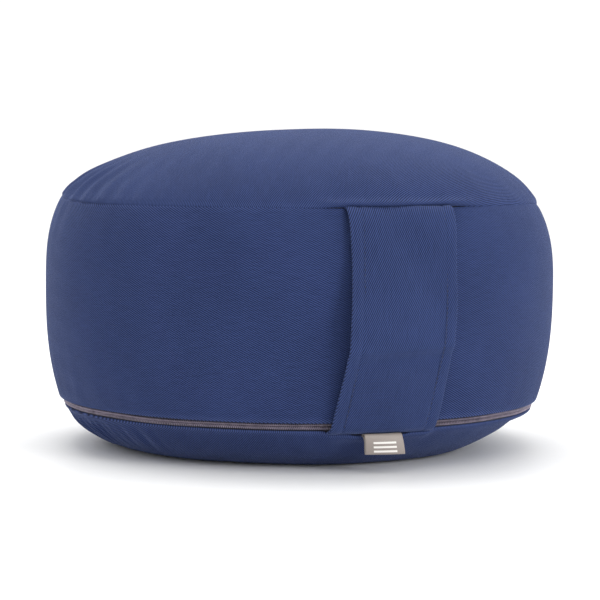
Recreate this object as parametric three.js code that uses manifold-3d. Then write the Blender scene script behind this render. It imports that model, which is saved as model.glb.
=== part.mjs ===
// Round floor cushion (zafu) with a carry strap, a coil zip in its lower seam and a hull-filled inner bag.
// Millimetres, +Z up. The origin is on the cushion's axis at floor level; the strap is centred on -Y, the front.
import * as THREE from 'three';
import { mergeVertices } from 'three/addons/utils/BufferGeometryUtils.js';
import Module from 'manifold-3d';

// ---- Driving dimensions -------------------------------------------------------------------------------------

// Cover, measured on the outside of the cloth
const WIDEST_RADIUS = 150;
const WIDEST_HEIGHT = 95;
const TOP_SEAM_RADIUS = 140.2;
const TOP_SEAM_HEIGHT = 145;
const CROWN_RISE = 41;
const BAND_FOOT_RADIUS = 141.8;
const REST_RADIUS = 92;

// Cloth and sewing
const CLOTH = 0.8;
const HEM_THICKNESS = 1.7;
const HEM_LENGTH = 8;
const GAP = 0.3;
const THREAD = 0.6;

// Folded edges beside the chain: room to the chain, how far the band's fold comes down and the rim's stays below
const FOLD_ROOM = 1.1;
const FOLD_DROP = 0.4;
const RIM_DROP = 0.6;

// Zip: the chain lies on a cone whose line leans outward at its top
const ZIP_RADIUS = 139.6;
const ZIP_HEIGHT = 26;
const ZIP_LEAN = THREE.MathUtils.degToRad(20);
const ZIP_END_ANGLE = 135;
const CHAIN_WIDTH = 4.4;
const CHAIN_SPLIT = 1.1;
const COIL_THICKNESS = 1.7;
const TAPE_THICKNESS = 0.5;
const TAPE_REACH = 12;
const STOP_LENGTH = 1.6;

// Slider and pull
const SLIDER_LENGTH = 8.5;
const SLIDER_WIDTH = 4.6;
const PLATE_THICKNESS = 0.9;
const WEB_THICKNESS = 0.4;
const RUNNING_GAP = 0.35;
const BRIDGE_LENGTH = 5.6;
const BRIDGE_WIDTH = 1.2;
const BRIDGE_THICKNESS = 0.6;
const PIVOT_ROOM = 1.4;
const PULL_LENGTH = 20;
const PULL_WIDTH = 4.4;
const PULL_THICKNESS = 0.7;

// Carry strap
const STRAP_WIDTH = 61;
const STRAP_THICKNESS = 1.8;
const STRAP_STAND_OFF = 10;
const STRAP_HEM = 6.4;
const STRAP_SKEW = 9.6;
const SLIDER_STAND = 8.5;

// Woven label
const LABEL_WIDTH = 22;
const LABEL_DROP = 13;
const LABEL_THICKNESS = 0.8;

// Inner bag
const LINER_CLOTH = 0.6;
const LINER_ROOM = 2.6;
const LINER_SEAM_ROOM = 6.2;

// Steps round the full circle, one every 7.5 degrees, shared by all rings so that their facets line up
const TURN_STEPS = 48;
const RAD = Math.PI / 180;

// ---- Profiles of the cover as radius and height -------------------------------------------------------------

const v2 = (x, y) => new THREE.Vector2(x, y);
const zipUp = v2(Math.sin(ZIP_LEAN), Math.cos(ZIP_LEAN));
const zipOut = v2(Math.cos(ZIP_LEAN), -Math.sin(ZIP_LEAN));

// A point beside the chain's centre line: along its width, then out of its face.
function besideZip(along, out) {
  return v2(ZIP_RADIUS, ZIP_HEIGHT).addScaledVector(zipUp, along).addScaledVector(zipOut, out);
}

const bandFoot = v2(BAND_FOOT_RADIUS, ZIP_HEIGHT + CHAIN_WIDTH / 2 + FOLD_ROOM - FOLD_DROP);
const rim = besideZip(-CHAIN_WIDTH / 2 - FOLD_ROOM - RIM_DROP, -GAP);

function bandRadius(z) {
  const above = z > WIDEST_HEIGHT;
  const end = above ? v2(TOP_SEAM_RADIUS, TOP_SEAM_HEIGHT) : bandFoot;
  const share = (z - WIDEST_HEIGHT) / (end.y - WIDEST_HEIGHT);
  return WIDEST_RADIUS - (WIDEST_RADIUS - end.x) * share ** (above ? 2.9 : 2.6);
}

// A height at a share of the band's own height, from its foot to the top seam; its belly lies between two shares.
const bandAt = (share) => bandFoot.y + (TOP_SEAM_HEIGHT - bandFoot.y) * share;
const BAND_LOW = 0.18;
const BAND_HIGH = 0.82;

// How much longer a level line through the band's cloth is than the cloth is thick, from its lean at a height.
const throughBand = (z) => Math.hypot(1, bandRadius(z) - bandRadius(z - 1));

function domeHeight(r) {
  return TOP_SEAM_HEIGHT + CROWN_RISE * (1 - (r / TOP_SEAM_RADIUS) ** 2.35) ** 0.72;
}

function bottomHeight(r) {
  const share = (r - REST_RADIUS) / (rim.x - REST_RADIUS);
  return rim.y * share ** 2.15;
}

// ---- Shape helpers ------------------------------------------------------------------------------------------

// The polyline moved sideways, to the left of its direction, by a depth that may change along it.
function offset(points, depthAt) {
  let run = 0;
  return points.map((p, i) => {
    const before = points[Math.max(i - 1, 0)];
    const after = points[Math.min(i + 1, points.length - 1)];
    const way = after.clone().sub(before).normalize();
    if (i > 0) run += p.distanceTo(before);
    return p.clone().addScaledVector(v2(-way.y, way.x), depthAt(run));
  });
}

// A closed ring or disc from a section that starts and ends on the axis or closes on itself.
function lathe(section, closed = true) {
  const points = closed ? [...section, section[0].clone()] : section;
  const ring = new THREE.LatheGeometry(points, TURN_STEPS, -Math.PI / 2);
  ring.rotateX(Math.PI / 2);
  return outward(ring);
}

// A section carried round the axis from one angle to another, counted in degrees from the front towards +X.
function sweep(section, from, to, steps) {
  const body = new THREE.ExtrudeGeometry(new THREE.Shape(section), {
    depth: 1,
    steps: steps ?? Math.round((to - from) / 360 * TURN_STEPS),
    bevelEnabled: false,
  });
  return moved(body, (p) => atAngle(p.x, p.y, from + (to - from) * p.z));
}

function atAngle(r, z, degrees) {
  return new THREE.Vector3(r * Math.sin(degrees * RAD), -r * Math.cos(degrees * RAD), z);
}

// A ribbon of even thickness on a radius-height path that crosses the front, bent round the cushion by a share.
// Trim is the length left off at each end of the path, lift moves the ribbon out of the path's own line, and skew
// is how far its far end is set to the right of its near end.
function ribbon({
  path, width, thickness, across, along, centre = 0, roundness = () => 1, lift = 0, trim = 0, skew = 0,
}) {
  const box = new THREE.BoxGeometry(width, 1, thickness, across, along, 1);
  const length = path.getLength();
  return moved(box, (p) => {
    const share = THREE.MathUtils.clamp(p.y + 0.5, trim / length, 1 - trim / length);
    const at = path.getPointAt(share);
    const way = path.getTangentAt(share);
    const x = centre + p.x + skew * (share - 0.5);
    const drop = roundness(share, length) * x * x / (2 * TOP_SEAM_RADIUS);
    const off = p.z + lift;
    return new THREE.Vector3(x, -(at.x + way.y * off - drop), at.y - way.x * off);
  });
}

function moved(geometry, place) {
  const at = geometry.attributes.position;
  const p = new THREE.Vector3();
  for (let i = 0; i < at.count; i++) {
    p.fromBufferAttribute(at, i);
    const q = place(p);
    at.setXYZ(i, q.x, q.y, q.z);
  }
  return outward(geometry);
}

// Only positions kept and shared vertices merged, with the faces turned to point out of the solid.
function outward(geometry) {
  for (const name of ['normal', 'uv']) geometry.deleteAttribute(name);
  const merged = mergeVertices(geometry, 1e-3);
  const index = Array.from(merged.index.array);
  const at = merged.attributes.position;
  const [a, b, c] = [new THREE.Vector3(), new THREE.Vector3(), new THREE.Vector3()];
  const kept = [];
  let volume = 0;
  for (let i = 0; i < index.length; i += 3) {
    const [i0, i1, i2] = index.slice(i, i + 3);
    if (i0 === i1 || i1 === i2 || i2 === i0) continue;
    a.fromBufferAttribute(at, i0);
    b.fromBufferAttribute(at, i1);
    c.fromBufferAttribute(at, i2);
    volume += a.dot(b.cross(c));
    kept.push([i0, i1, i2]);
  }
  const faces = volume < 0 ? kept.map(([i0, i1, i2]) => [i0, i2, i1]) : kept;
  merged.setIndex(faces.flat());
  return merged;
}

const wasm = await Module();
wasm.setup();

function solid(geometry) {
  return new wasm.Manifold(new wasm.Mesh({
    numProp: 3,
    vertProperties: geometry.attributes.position.array,
    triVerts: new Uint32Array(geometry.index.array),
  }));
}

function geometryOf(manifold) {
  const { vertProperties, triVerts } = manifold.getMesh();
  const geometry = new THREE.BufferGeometry();
  geometry.setAttribute('position', new THREE.BufferAttribute(vertProperties, 3));
  geometry.setIndex(new THREE.BufferAttribute(triVerts, 1));
  return geometry;
}

const cut = (geometry, tool) => geometryOf(solid(geometry).subtract(solid(tool)));
const join = (...parts) => geometryOf(parts.map(solid).reduce((sum, next) => sum.add(next)));

const steps = (from, to, count) => Array.from({ length: count + 1 }, (_, i) => from + (to - from) * i / count);

// ---- Materials ----------------------------------------------------------------------------------------------

const finish = (color, roughness, metalness = 0) => new THREE.MeshStandardMaterial({ color, roughness, metalness });
const twill = finish(0x39435f, 0.9);
const thread = finish(0x333c58, 0.8);
const tape = finish(0x555367, 0.9);
const nylon = finish(0x7d7380, 0.5);
const zinc = finish(0x6f6f78, 0.35, 1);
const satin = finish(0xb0a6a0, 0.7);
const calico = finish(0xd9cfb8, 0.9);
const hulls = finish(0x4a3528, 0.9);

const cushion = new THREE.Group();
function add(name, geometry, material) {
  const mesh = new THREE.Mesh(geometry, material);
  mesh.name = name;
  cushion.add(mesh);
}

// ---- Strap path and the slots its ends pass through ---------------------------------------------------------

const strapSeat = -CHAIN_WIDTH / 2 - STRAP_THICKNESS / 2 - RUNNING_GAP - 0.15;
const aboveZip = v2(ZIP_RADIUS + SLIDER_STAND, ZIP_HEIGHT + 2);

// Shares of the band's height at which the strap's line is set, with its share of the full stand-off there
const strapStations = [
  [0.147, 0.5], [0.25, 0.76], [0.38, 1], [0.526, 0.9], [0.68, 0.5], [0.82, 0.25], [0.93, 0.2],
];
const strapPath = new THREE.SplineCurve([
  besideZip(strapSeat, -2),
  besideZip(strapSeat, 1.5),
  besideZip(strapSeat, 4.2),
  aboveZip.clone().add(v2(-1.4, -4.6)),
  aboveZip,
  ...strapStations.map(([up, off]) => v2(bandRadius(bandAt(up)) + off * STRAP_STAND_OFF, bandAt(up))),
  v2(TOP_SEAM_RADIUS + 2.4, TOP_SEAM_HEIGHT - 0.6),
  v2(TOP_SEAM_RADIUS - 1.2, TOP_SEAM_HEIGHT + 0.05),
]);

// The strap hugs the round seams at its ends and is flatter where it stands off.
const strapRoundness = (share) => 1 - 0.9 * Math.sin(Math.PI * share) ** 0.7;

function strapBody(extra) {
  return ribbon({
    path: strapPath,
    width: STRAP_WIDTH + 2 * extra,
    thickness: STRAP_THICKNESS + 2 * extra,
    across: 8,
    along: 26,
    roundness: strapRoundness,
    skew: STRAP_SKEW,
    trim: extra > 0 ? 0 : GAP,
  });
}
const strapSlot = strapBody(GAP);

// ---- Cover --------------------------------------------------------------------------------------------------

const hemmed = (length) => (run) => {
  const edge = Math.min(run, length - run);
  return edge < HEM_LENGTH + 0.1 ? HEM_THICKNESS : CLOTH;
};

function pathLength(points) {
  return points.slice(1).reduce((sum, p, i) => sum + p.distanceTo(points[i]), 0);
}

// At the back, where there is no zip, the band's foot and the bottom panel's rim close on each other.
const CLOSED_BACK = 180 - ZIP_END_ANGLE;
const CLOSING_REACH = 16;
function closeAtBack(geometry, edge, target) {
  const shift = target.clone().sub(edge);
  return moved(geometry, (p) => {
    const r = Math.hypot(p.x, p.y);
    const fromBack = Math.abs(Math.atan2(p.x, p.y)) / RAD;
    const reach = v2(r, p.z).distanceTo(edge);
    const share = fromBack < CLOSED_BACK - 2 ? Math.max(0, 1 - reach / CLOSING_REACH) ** 2 : 0;
    const scale = (r + shift.x * share) / Math.max(r, 1);
    return r < 1 ? p.clone() : new THREE.Vector3(p.x * scale, p.y * scale, p.z + shift.y * share);
  });
}

const bandTop = TOP_SEAM_HEIGHT - 0.1;
const bandBelly = steps(BAND_LOW, BAND_HIGH, 4).map(bandAt);
const bandHeights = [
  bandFoot.y,
  bandFoot.y + HEM_LENGTH,
  bandFoot.y + HEM_LENGTH + 1,
  ...bandBelly,
  bandTop - HEM_LENGTH - 1,
  bandTop - HEM_LENGTH,
  bandTop,
];
const bandOuter = bandHeights.map((z) => v2(bandRadius(z), z));
const bandInner = offset(bandOuter, hemmed(pathLength(bandOuter)));
const bandRing = lathe([...bandOuter, ...bandInner.reverse()]);
const bandBackFoot = besideZip(0.35, 0.2);
add('side_band', cut(closeAtBack(bandRing, bandFoot, bandBackFoot), strapSlot), twill);

const panelFoot = TOP_SEAM_HEIGHT + 0.25;
const flangeFoot = TOP_SEAM_HEIGHT - HEM_LENGTH;
const flangeOuter = (z) => bandRadius(z) - HEM_THICKNESS * throughBand(z) - GAP - 0.2;
const domeShares = [0, 0.3, 0.52, 0.7, 0.84, 0.93, 0.98];
const domeOuter = [...domeShares.map((s) => v2(s * TOP_SEAM_RADIUS, domeHeight(s * TOP_SEAM_RADIUS))),
  v2(TOP_SEAM_RADIUS, TOP_SEAM_HEIGHT + 2.2), v2(TOP_SEAM_RADIUS, panelFoot)];
const domeInner = offset(domeOuter.slice(0, -1), () => -CLOTH);
domeInner[0].x = 0;
add('top_panel', cut(lathe([
  ...domeOuter,
  v2(flangeOuter(TOP_SEAM_HEIGHT), panelFoot),
  v2(flangeOuter(flangeFoot), flangeFoot),
  v2(flangeOuter(flangeFoot) - CLOTH, flangeFoot),
  v2(flangeOuter(TOP_SEAM_HEIGHT) - CLOTH, panelFoot + CLOTH),
  v2(TOP_SEAM_RADIUS - CLOTH, panelFoot + CLOTH),
  ...domeInner.reverse(),
], false), strapSlot), twill);

const rimRun = [1, 0.88, 0.86, 0.62, 0.34, 0];
const bottomRadii = rimRun.map((s) => REST_RADIUS + (rim.x - REST_RADIUS) * s);
const bottomOuter = [...bottomRadii.map((r) => v2(r, bottomHeight(r))), v2(0, 0)];
const bottomInner = offset(bottomOuter, (run) => (run < HEM_LENGTH + 0.6 ? -HEM_THICKNESS : -CLOTH));
bottomInner[bottomInner.length - 1].x = 0;
const bottomShell = lathe([...bottomOuter.reverse(), ...bottomInner], false);
const rimBack = besideZip(-1.35, 0);
add('bottom_panel', cut(closeAtBack(bottomShell, rim, rimBack), strapSlot), twill);

// ---- Strap, its stitching and the label ---------------------------------------------------------------------

add('carry_strap', strapBody(0), twill);
for (const [side, sign] of [['left', -1], ['right', 1]]) {
  add(`strap_stitching_${side}`, ribbon({
    path: strapPath,
    width: THREAD,
    thickness: THREAD / 2,
    across: 1,
    along: 26,
    centre: sign * (STRAP_WIDTH / 2 - STRAP_HEM),
    roundness: strapRoundness,
    skew: STRAP_SKEW,
    lift: STRAP_THICKNESS / 2 + GAP + THREAD / 4,
    trim: 2 * HEM_LENGTH,
  }), thread);
}

const labelTop = strapSeat - STRAP_THICKNESS / 2 - LABEL_THICKNESS / 2 - GAP - 0.1;
const labelHang = besideZip(labelTop, 2.2);
add('woven_label', ribbon({
  path: new THREE.SplineCurve([
    labelHang.clone().add(v2(1.2, -LABEL_DROP)),
    labelHang.clone().add(v2(1.4, -LABEL_DROP / 2)),
    labelHang.clone().add(v2(1, -1.6)),
    labelHang,
    besideZip(labelTop, 0.9),
  ]),
  width: LABEL_WIDTH,
  thickness: LABEL_THICKNESS,
  across: 3,
  along: 8,
  centre: -STRAP_SKEW / 2 - 0.8,
}), satin);

// ---- Zip ----------------------------------------------------------------------------------------------------

const coilFrom = -ZIP_END_ANGLE;
const coilTo = ZIP_END_ANGLE;
const halfChain = CHAIN_WIDTH / 2;
const halfSplit = CHAIN_SPLIT / 2;
const tapeFace = -COIL_THICKNESS - GAP - 0.3;
const block = (along0, along1, out0, out1) => [
  besideZip(along0, out0), besideZip(along0, out1), besideZip(along1, out1), besideZip(along1, out0),
];
add('zip_coil_upper', sweep(block(halfSplit, halfChain, -COIL_THICKNESS, 0), coilFrom, coilTo), nylon);
add('zip_coil_lower', sweep(block(-halfChain, -halfSplit, -COIL_THICKNESS, 0), coilFrom, coilTo), nylon);

const upperReach = bandFoot.y + TAPE_REACH;
const behindHem = (z) => bandRadius(z) - HEM_THICKNESS * throughBand(z) - GAP - 0.4;
const upperTape = [
  besideZip(halfSplit + 0.2, tapeFace),
  v2(behindHem(bandFoot.y + 1) - 0.9, bandFoot.y + 1),
  v2(behindHem(upperReach), upperReach),
];
const upperTapeBack = offset(upperTape, () => TAPE_THICKNESS);
add('zip_tape_upper', sweep([...upperTape, ...upperTapeBack.reverse()], coilFrom, coilTo), tape);

const lowerTapeEnds = [1, 0.93, 0.86, 0.8].map((s) => REST_RADIUS + (rim.x - REST_RADIUS) * s);
const lowerTapeRun = offset(lowerTapeEnds.map((r) => v2(r, bottomHeight(r))), () => -HEM_THICKNESS - GAP - 0.3);
const lowerTape = [besideZip(-halfSplit - 0.2, tapeFace), besideZip(-halfChain - 0.9, tapeFace),
  ...lowerTapeRun.slice(1)];
const lowerTapeBack = offset(lowerTape, () => -TAPE_THICKNESS);
add('zip_tape_lower', sweep([...lowerTape, ...lowerTapeBack.reverse()], coilFrom, coilTo), tape);

const stopTurn = STOP_LENGTH / ZIP_RADIUS / RAD;
const stopGap = GAP / ZIP_RADIUS / RAD;
const stopSection = block(-halfChain, halfChain, -COIL_THICKNESS, 0);
add('zip_stop_closed_end', sweep(stopSection, coilTo + stopGap, coilTo + stopGap + stopTurn, 1), nylon);
add('zip_stop_open_end', sweep(stopSection, coilFrom - stopGap - stopTurn, coilFrom - stopGap, 1), nylon);

// Slider: an outer and an inner plate joined by a thin web between the two coils, with a bridge for the pull.
const sliderTurn = SLIDER_LENGTH / ZIP_RADIUS / RAD;
const sliderAngle = ZIP_END_ANGLE - sliderTurn / 2 - 0.6;
const [sliderFrom, sliderTo] = [sliderAngle - sliderTurn / 2, sliderAngle + sliderTurn / 2];
const facetSag = ZIP_RADIUS * (1 - Math.cos(Math.PI / TURN_STEPS));
const outerFace = RUNNING_GAP;
const plateTop = outerFace + PLATE_THICKNESS;
const innerFace = tapeFace - TAPE_THICKNESS - RUNNING_GAP - facetSag;
const halfSlider = SLIDER_WIDTH / 2;
const plate = (out0, out1) => sweep(block(-halfSlider, halfSlider, out0, out1), sliderFrom, sliderTo, 3);
const bridgeFoot = plateTop + PIVOT_ROOM;
const bridgeTop = bridgeFoot + BRIDGE_THICKNESS;
const bridgeTurn = BRIDGE_LENGTH / ZIP_RADIUS / RAD;
const post = (sign) => {
  const end = sliderAngle + sign * bridgeTurn / 2;
  const start = end - sign * BRIDGE_THICKNESS / ZIP_RADIUS / RAD;
  const section = block(-BRIDGE_WIDTH / 2, BRIDGE_WIDTH / 2, outerFace + 0.1, bridgeTop);
  return sweep(section, Math.min(start, end), Math.max(start, end), 1);
};
const web = block(-WEB_THICKNESS / 2, WEB_THICKNESS / 2, innerFace - 0.1, outerFace + 0.1);
const bridge = block(-BRIDGE_WIDTH / 2, BRIDGE_WIDTH / 2, bridgeFoot, bridgeTop);
add('zip_slider', join(
  plate(outerFace, plateTop),
  plate(innerFace - PLATE_THICKNESS, innerFace),
  sweep(web, sliderAngle - sliderTurn / 4, sliderAngle + sliderTurn / 4, 2),
  sweep(bridge, sliderAngle - bridgeTurn / 2, sliderAngle + bridgeTurn / 2, 2),
  post(-1),
  post(1),
), zinc);

// Pull: a flat tag whose eye goes round the bridge. Its own X runs along the zip from the pivot, Y out of the zip.
const EYE_BAR = 0.35;
const EYE_FROM = 0.5;
const EYE_TO = 4.6;
const EYE_WIDTH = 2.1;
const tag = new THREE.Shape([
  v2(-EYE_BAR, -PULL_WIDTH / 2),
  v2(PULL_LENGTH - 1.4, -PULL_WIDTH / 2),
  v2(PULL_LENGTH, -PULL_WIDTH / 4),
  v2(PULL_LENGTH, PULL_WIDTH / 4),
  v2(PULL_LENGTH - 1.4, PULL_WIDTH / 2),
  v2(-EYE_BAR, PULL_WIDTH / 2),
]);
tag.holes.push(new THREE.Path([
  v2(EYE_FROM, -EYE_WIDTH / 2),
  v2(EYE_FROM, EYE_WIDTH / 2),
  v2(EYE_TO, EYE_WIDTH / 2),
  v2(EYE_TO, -EYE_WIDTH / 2),
]));
const pullBody = new THREE.ExtrudeGeometry(tag, { depth: PULL_THICKNESS, bevelEnabled: false });
pullBody.translate(0, 0, -PULL_THICKNESS / 2);
const pivotOut = plateTop + PIVOT_ROOM / 2;
const pivot = besideZip(0, pivotOut);
const pivotAt = atAngle(pivot.x, pivot.y, sliderAngle);
const alongZip = atAngle(1, 0, sliderAngle - 90);
const outOfZip = atAngle(zipOut.x, zipOut.y, sliderAngle);
const acrossZip = new THREE.Vector3().crossVectors(outOfZip, alongZip);
const pullFrame = new THREE.Matrix4().makeBasis(alongZip, acrossZip, outOfZip).setPosition(pivotAt);
add('zip_pull', outward(pullBody.applyMatrix4(pullFrame)), zinc);

// ---- Sewing thread on the inside ----------------------------------------------------------------------------

const bar = (at) => [v2(-1, -1), v2(1, -1), v2(0, 1)].map((corner) => corner.multiplyScalar(THREAD / 2).add(at));
const topThreadHeight = TOP_SEAM_HEIGHT - 2;
add('top_seam_thread', lathe(bar(v2(flangeOuter(topThreadHeight) - CLOTH - GAP - THREAD, topThreadHeight))), thread);
const upperThreadAt = upperTape[1].clone().lerp(upperTape[2], 0.4);
upperThreadAt.x -= TAPE_THICKNESS * throughBand(upperReach) + GAP + 2 * THREAD;
add('tape_thread_upper', sweep(bar(upperThreadAt), coilFrom, coilTo), thread);
const lowerThreadAt = offset(lowerTape, () => -TAPE_THICKNESS - GAP - THREAD)[3];
add('tape_thread_lower', sweep(bar(lowerThreadAt), coilFrom, coilTo), thread);
add('rear_seam_thread', sweep(bar(besideZip(0.4, -3)), ZIP_END_ANGLE + 6, 360 - ZIP_END_ANGLE - 6), thread);
const closingRun = bandBelly.map((z) => v2(bandRadius(z) - CLOTH - GAP - THREAD, z));
const closingBack = offset(closingRun, () => THREAD);
add('band_closing_thread', sweep([...closingRun, ...closingBack.reverse()], 179.8, 180.2, 1), thread);

// ---- Inner bag and fill -------------------------------------------------------------------------------------

const linerTopSeam = v2(flangeOuter(TOP_SEAM_HEIGHT) - CLOTH - 2.4, TOP_SEAM_HEIGHT - 5);
const linerFootSeam = v2(ZIP_RADIUS - LINER_SEAM_ROOM, ZIP_HEIGHT - 1);
const linerWide = WIDEST_RADIUS - CLOTH - LINER_ROOM;
const linerBand = (z) => {
  const end = z > WIDEST_HEIGHT ? linerTopSeam : linerFootSeam;
  return linerWide - (linerWide - end.x) * Math.abs((z - WIDEST_HEIGHT) / (end.y - WIDEST_HEIGHT)) ** 2.2;
};
const linerRise = CROWN_RISE - 1.6;
const linerDome = (share) => v2(share * linerTopSeam.x, linerTopSeam.y + GAP + linerRise * (1 - share ** 2.3) ** 0.8);
const linerRest = REST_RADIUS - 2;
const linerFloor = CLOTH + 2 * GAP;
const linerBottom = (share) => v2(
  linerRest + (linerFootSeam.x - linerRest) * share,
  linerFloor + (linerFootSeam.y - GAP - linerFloor) * share ** 1.9,
);

const linerDomeOuter = [0, 0.4, 0.7, 0.88, 1].map(linerDome);
const linerDomeInner = offset(linerDomeOuter, () => -LINER_CLOTH);
linerDomeInner[0].x = 0;
linerDomeInner[linerDomeInner.length - 1].y = linerDomeOuter[linerDomeOuter.length - 1].y;
add('liner_top', lathe([...linerDomeOuter, ...linerDomeInner.reverse()], false), calico);

// Above its foot seam the bag stays behind the slider until it has passed the slider's upper edge.
const linerLow = v2(linerBand(bandAt(BAND_LOW)), bandAt(BAND_LOW));
const pastSlider = besideZip(SLIDER_WIDTH / 2 + 3 * GAP, 2 * GAP - LINER_SEAM_ROOM);
const straightUp = (pastSlider.y - linerFootSeam.y) / (linerLow.y - linerFootSeam.y);
pastSlider.x = Math.min(pastSlider.x, linerFootSeam.clone().lerp(linerLow, straightUp).x);
const linerBandOuter = [
  linerFootSeam,
  pastSlider,
  ...[bandAt(BAND_LOW), WIDEST_HEIGHT, bandAt(BAND_HIGH), linerTopSeam.y].map((z) => v2(linerBand(z), z)),
];
const linerBandInner = linerBandOuter.map((p) => v2(p.x - LINER_CLOTH * 1.1, p.y));
add('liner_band', lathe([...linerBandOuter, ...linerBandInner.reverse()]), calico);

const linerBottomOuter = [v2(0, linerFloor), ...[0, 0.4, 0.75, 1].map(linerBottom)];
const linerBottomInner = offset(linerBottomOuter, () => LINER_CLOTH);
linerBottomInner[0].x = 0;
linerBottomInner[linerBottomInner.length - 1].y = linerBottomOuter[linerBottomOuter.length - 1].y;
add('liner_bottom', lathe([...linerBottomOuter, ...linerBottomInner.reverse()], false), calico);
const closingAt = v2(linerFootSeam.x + GAP + THREAD / 2, linerFootSeam.y - GAP / 2);
add('liner_closing_thread', sweep(bar(closingAt), 150, 210), thread);

const fillRoom = LINER_CLOTH + GAP;
const fillTop = [0, 0.4, 0.7, 0.88].map(linerDome).map((p) => v2(p.x * 0.985, p.y - fillRoom * 1.4));
const fillSide = [bandAt(BAND_HIGH), WIDEST_HEIGHT, bandAt(BAND_LOW)].map((z) => v2(linerBand(z) - fillRoom * 1.3, z));
const fillBottom = [0.75, 0.4, 0].map(linerBottom).map((p) => v2(p.x - fillRoom * 0.8, p.y + fillRoom));
const fillShoulder = v2(linerTopSeam.x - 2.5, linerTopSeam.y - 1);
const fillFoot = v2(linerFootSeam.x - 3, linerFootSeam.y + 1.5);
fillTop[0].x = 0;
add('hull_fill', lathe([
  ...fillTop, fillShoulder, ...fillSide, fillFoot, ...fillBottom, v2(0, linerFloor + fillRoom),
], false), hulls);

export default cushion;
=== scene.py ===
"""Round floor cushion in navy cotton twill: the visual model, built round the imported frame."""

import bpy
import bmesh
import numpy as np
from mathutils import Matrix, Vector


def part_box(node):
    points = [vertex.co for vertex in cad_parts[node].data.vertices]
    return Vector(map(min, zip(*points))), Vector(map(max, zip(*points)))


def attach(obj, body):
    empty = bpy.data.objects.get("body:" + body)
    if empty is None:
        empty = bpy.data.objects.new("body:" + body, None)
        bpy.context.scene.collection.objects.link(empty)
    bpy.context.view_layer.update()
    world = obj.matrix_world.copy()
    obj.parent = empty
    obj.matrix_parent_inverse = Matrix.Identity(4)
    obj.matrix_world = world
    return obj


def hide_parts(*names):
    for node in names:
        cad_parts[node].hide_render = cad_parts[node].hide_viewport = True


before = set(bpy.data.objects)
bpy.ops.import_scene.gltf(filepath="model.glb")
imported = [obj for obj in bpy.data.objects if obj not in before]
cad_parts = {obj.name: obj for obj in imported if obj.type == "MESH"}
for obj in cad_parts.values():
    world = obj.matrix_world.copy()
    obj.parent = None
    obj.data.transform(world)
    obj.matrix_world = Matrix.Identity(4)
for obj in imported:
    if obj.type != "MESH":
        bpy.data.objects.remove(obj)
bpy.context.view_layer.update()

bl_info = {
    "name": "Floor cushion",
    "version": (1, 0, 0),
    "blender": (4, 5, 0),
    "location": "View3D > Sidebar > Cushion",
    "description": "Builds a round twill floor cushion with a strap, a coil zip and an inner bag",
    "category": "Object",
}

MM = 0.001
TURN = 2 * np.pi

# ---- Places taken from the frame, in millimetres ---------------------------------------------------------------


def edge_of(node, corner, axis):
    """One coordinate of a frame node's box in mm: corner 0 is the lowest, 1 the highest."""
    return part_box(node)[corner][axis] / MM


WIDEST = edge_of("side_band", 1, 0)
TOP_SEAM = edge_of("side_band", 1, 2) + 0.1
CROWN = edge_of("top_panel", 1, 2)
ZIP_HEIGHT = (edge_of("zip_coil_upper", 1, 2) + edge_of("zip_coil_lower", 0, 2)) / 2 - 0.25
WIDEST_HEIGHT = 95.0
TOP_SEAM_RADIUS = 140.2
BAND_FOOT = (141.6, ZIP_HEIGHT + 2.85)
REST_RADIUS = 92.0
ZIP_RADIUS = 139.6
ZIP_LEAN = np.radians(20)
ZIP_END = 135.0
HALF_CHAIN = 2.2

# ---- Numbers that shape the cloth ------------------------------------------------------------------------------

CLOTH = 0.7
HEM = 1.5
CAMERA_TURN = np.radians(-21.4)


def linear(code):
    """An sRGB hex code as linear red, green, blue and an alpha of 1."""
    parts = [int(code[i : i + 2], 16) / 255 for i in (1, 3, 5)]
    return tuple(c / 12.92 if c <= 0.04045 else ((c + 0.055) / 1.055) ** 2.4 for c in parts) + (1.0,)


def step(low, high, x):
    """Smooth rise from 0 at low to 1 at high."""
    t = np.clip((x - low) / (high - low), 0, 1)
    return t * t * (3 - 2 * t)


def ripple(angle, low, high, seed):
    """Even mix of all whole waves from low to high round the circle, seeded, about 1 at its peaks."""
    rng = np.random.default_rng(seed)
    counts = np.arange(low, high + 1)
    phase = rng.uniform(0, TURN, len(counts))
    size = rng.normal(1, 0.3, len(counts))
    shape = np.sin(np.multiply.outer(angle, counts) + phase) * size
    return shape.sum(-1) / np.sqrt(2 * len(counts))


def from_angle(angle, centre):
    """Signed difference of two angles, from minus half a turn to half a turn."""
    return (angle - centre + np.pi) % TURN - np.pi


def lobe(angle, centre_degrees, width_degrees):
    """A bell round the circle: 1 at its centre, falling over its width."""
    return np.exp(-((from_angle(angle, np.radians(centre_degrees)) / np.radians(width_degrees)) ** 2))


def round_axis(radius, height, angle):
    """Points at a radius and height, at angles counted from the front, -Y, towards +X."""
    return np.stack([radius * np.sin(angle), -radius * np.cos(angle), height + 0 * angle], -1)


def beside_zip(along, out):
    """Radius and height of a point beside the chain's centre: along its width, then out of its face."""
    return (
        ZIP_RADIUS + along * np.sin(ZIP_LEAN) + out * np.cos(ZIP_LEAN),
        ZIP_HEIGHT + along * np.cos(ZIP_LEAN) - out * np.sin(ZIP_LEAN),
    )


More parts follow.
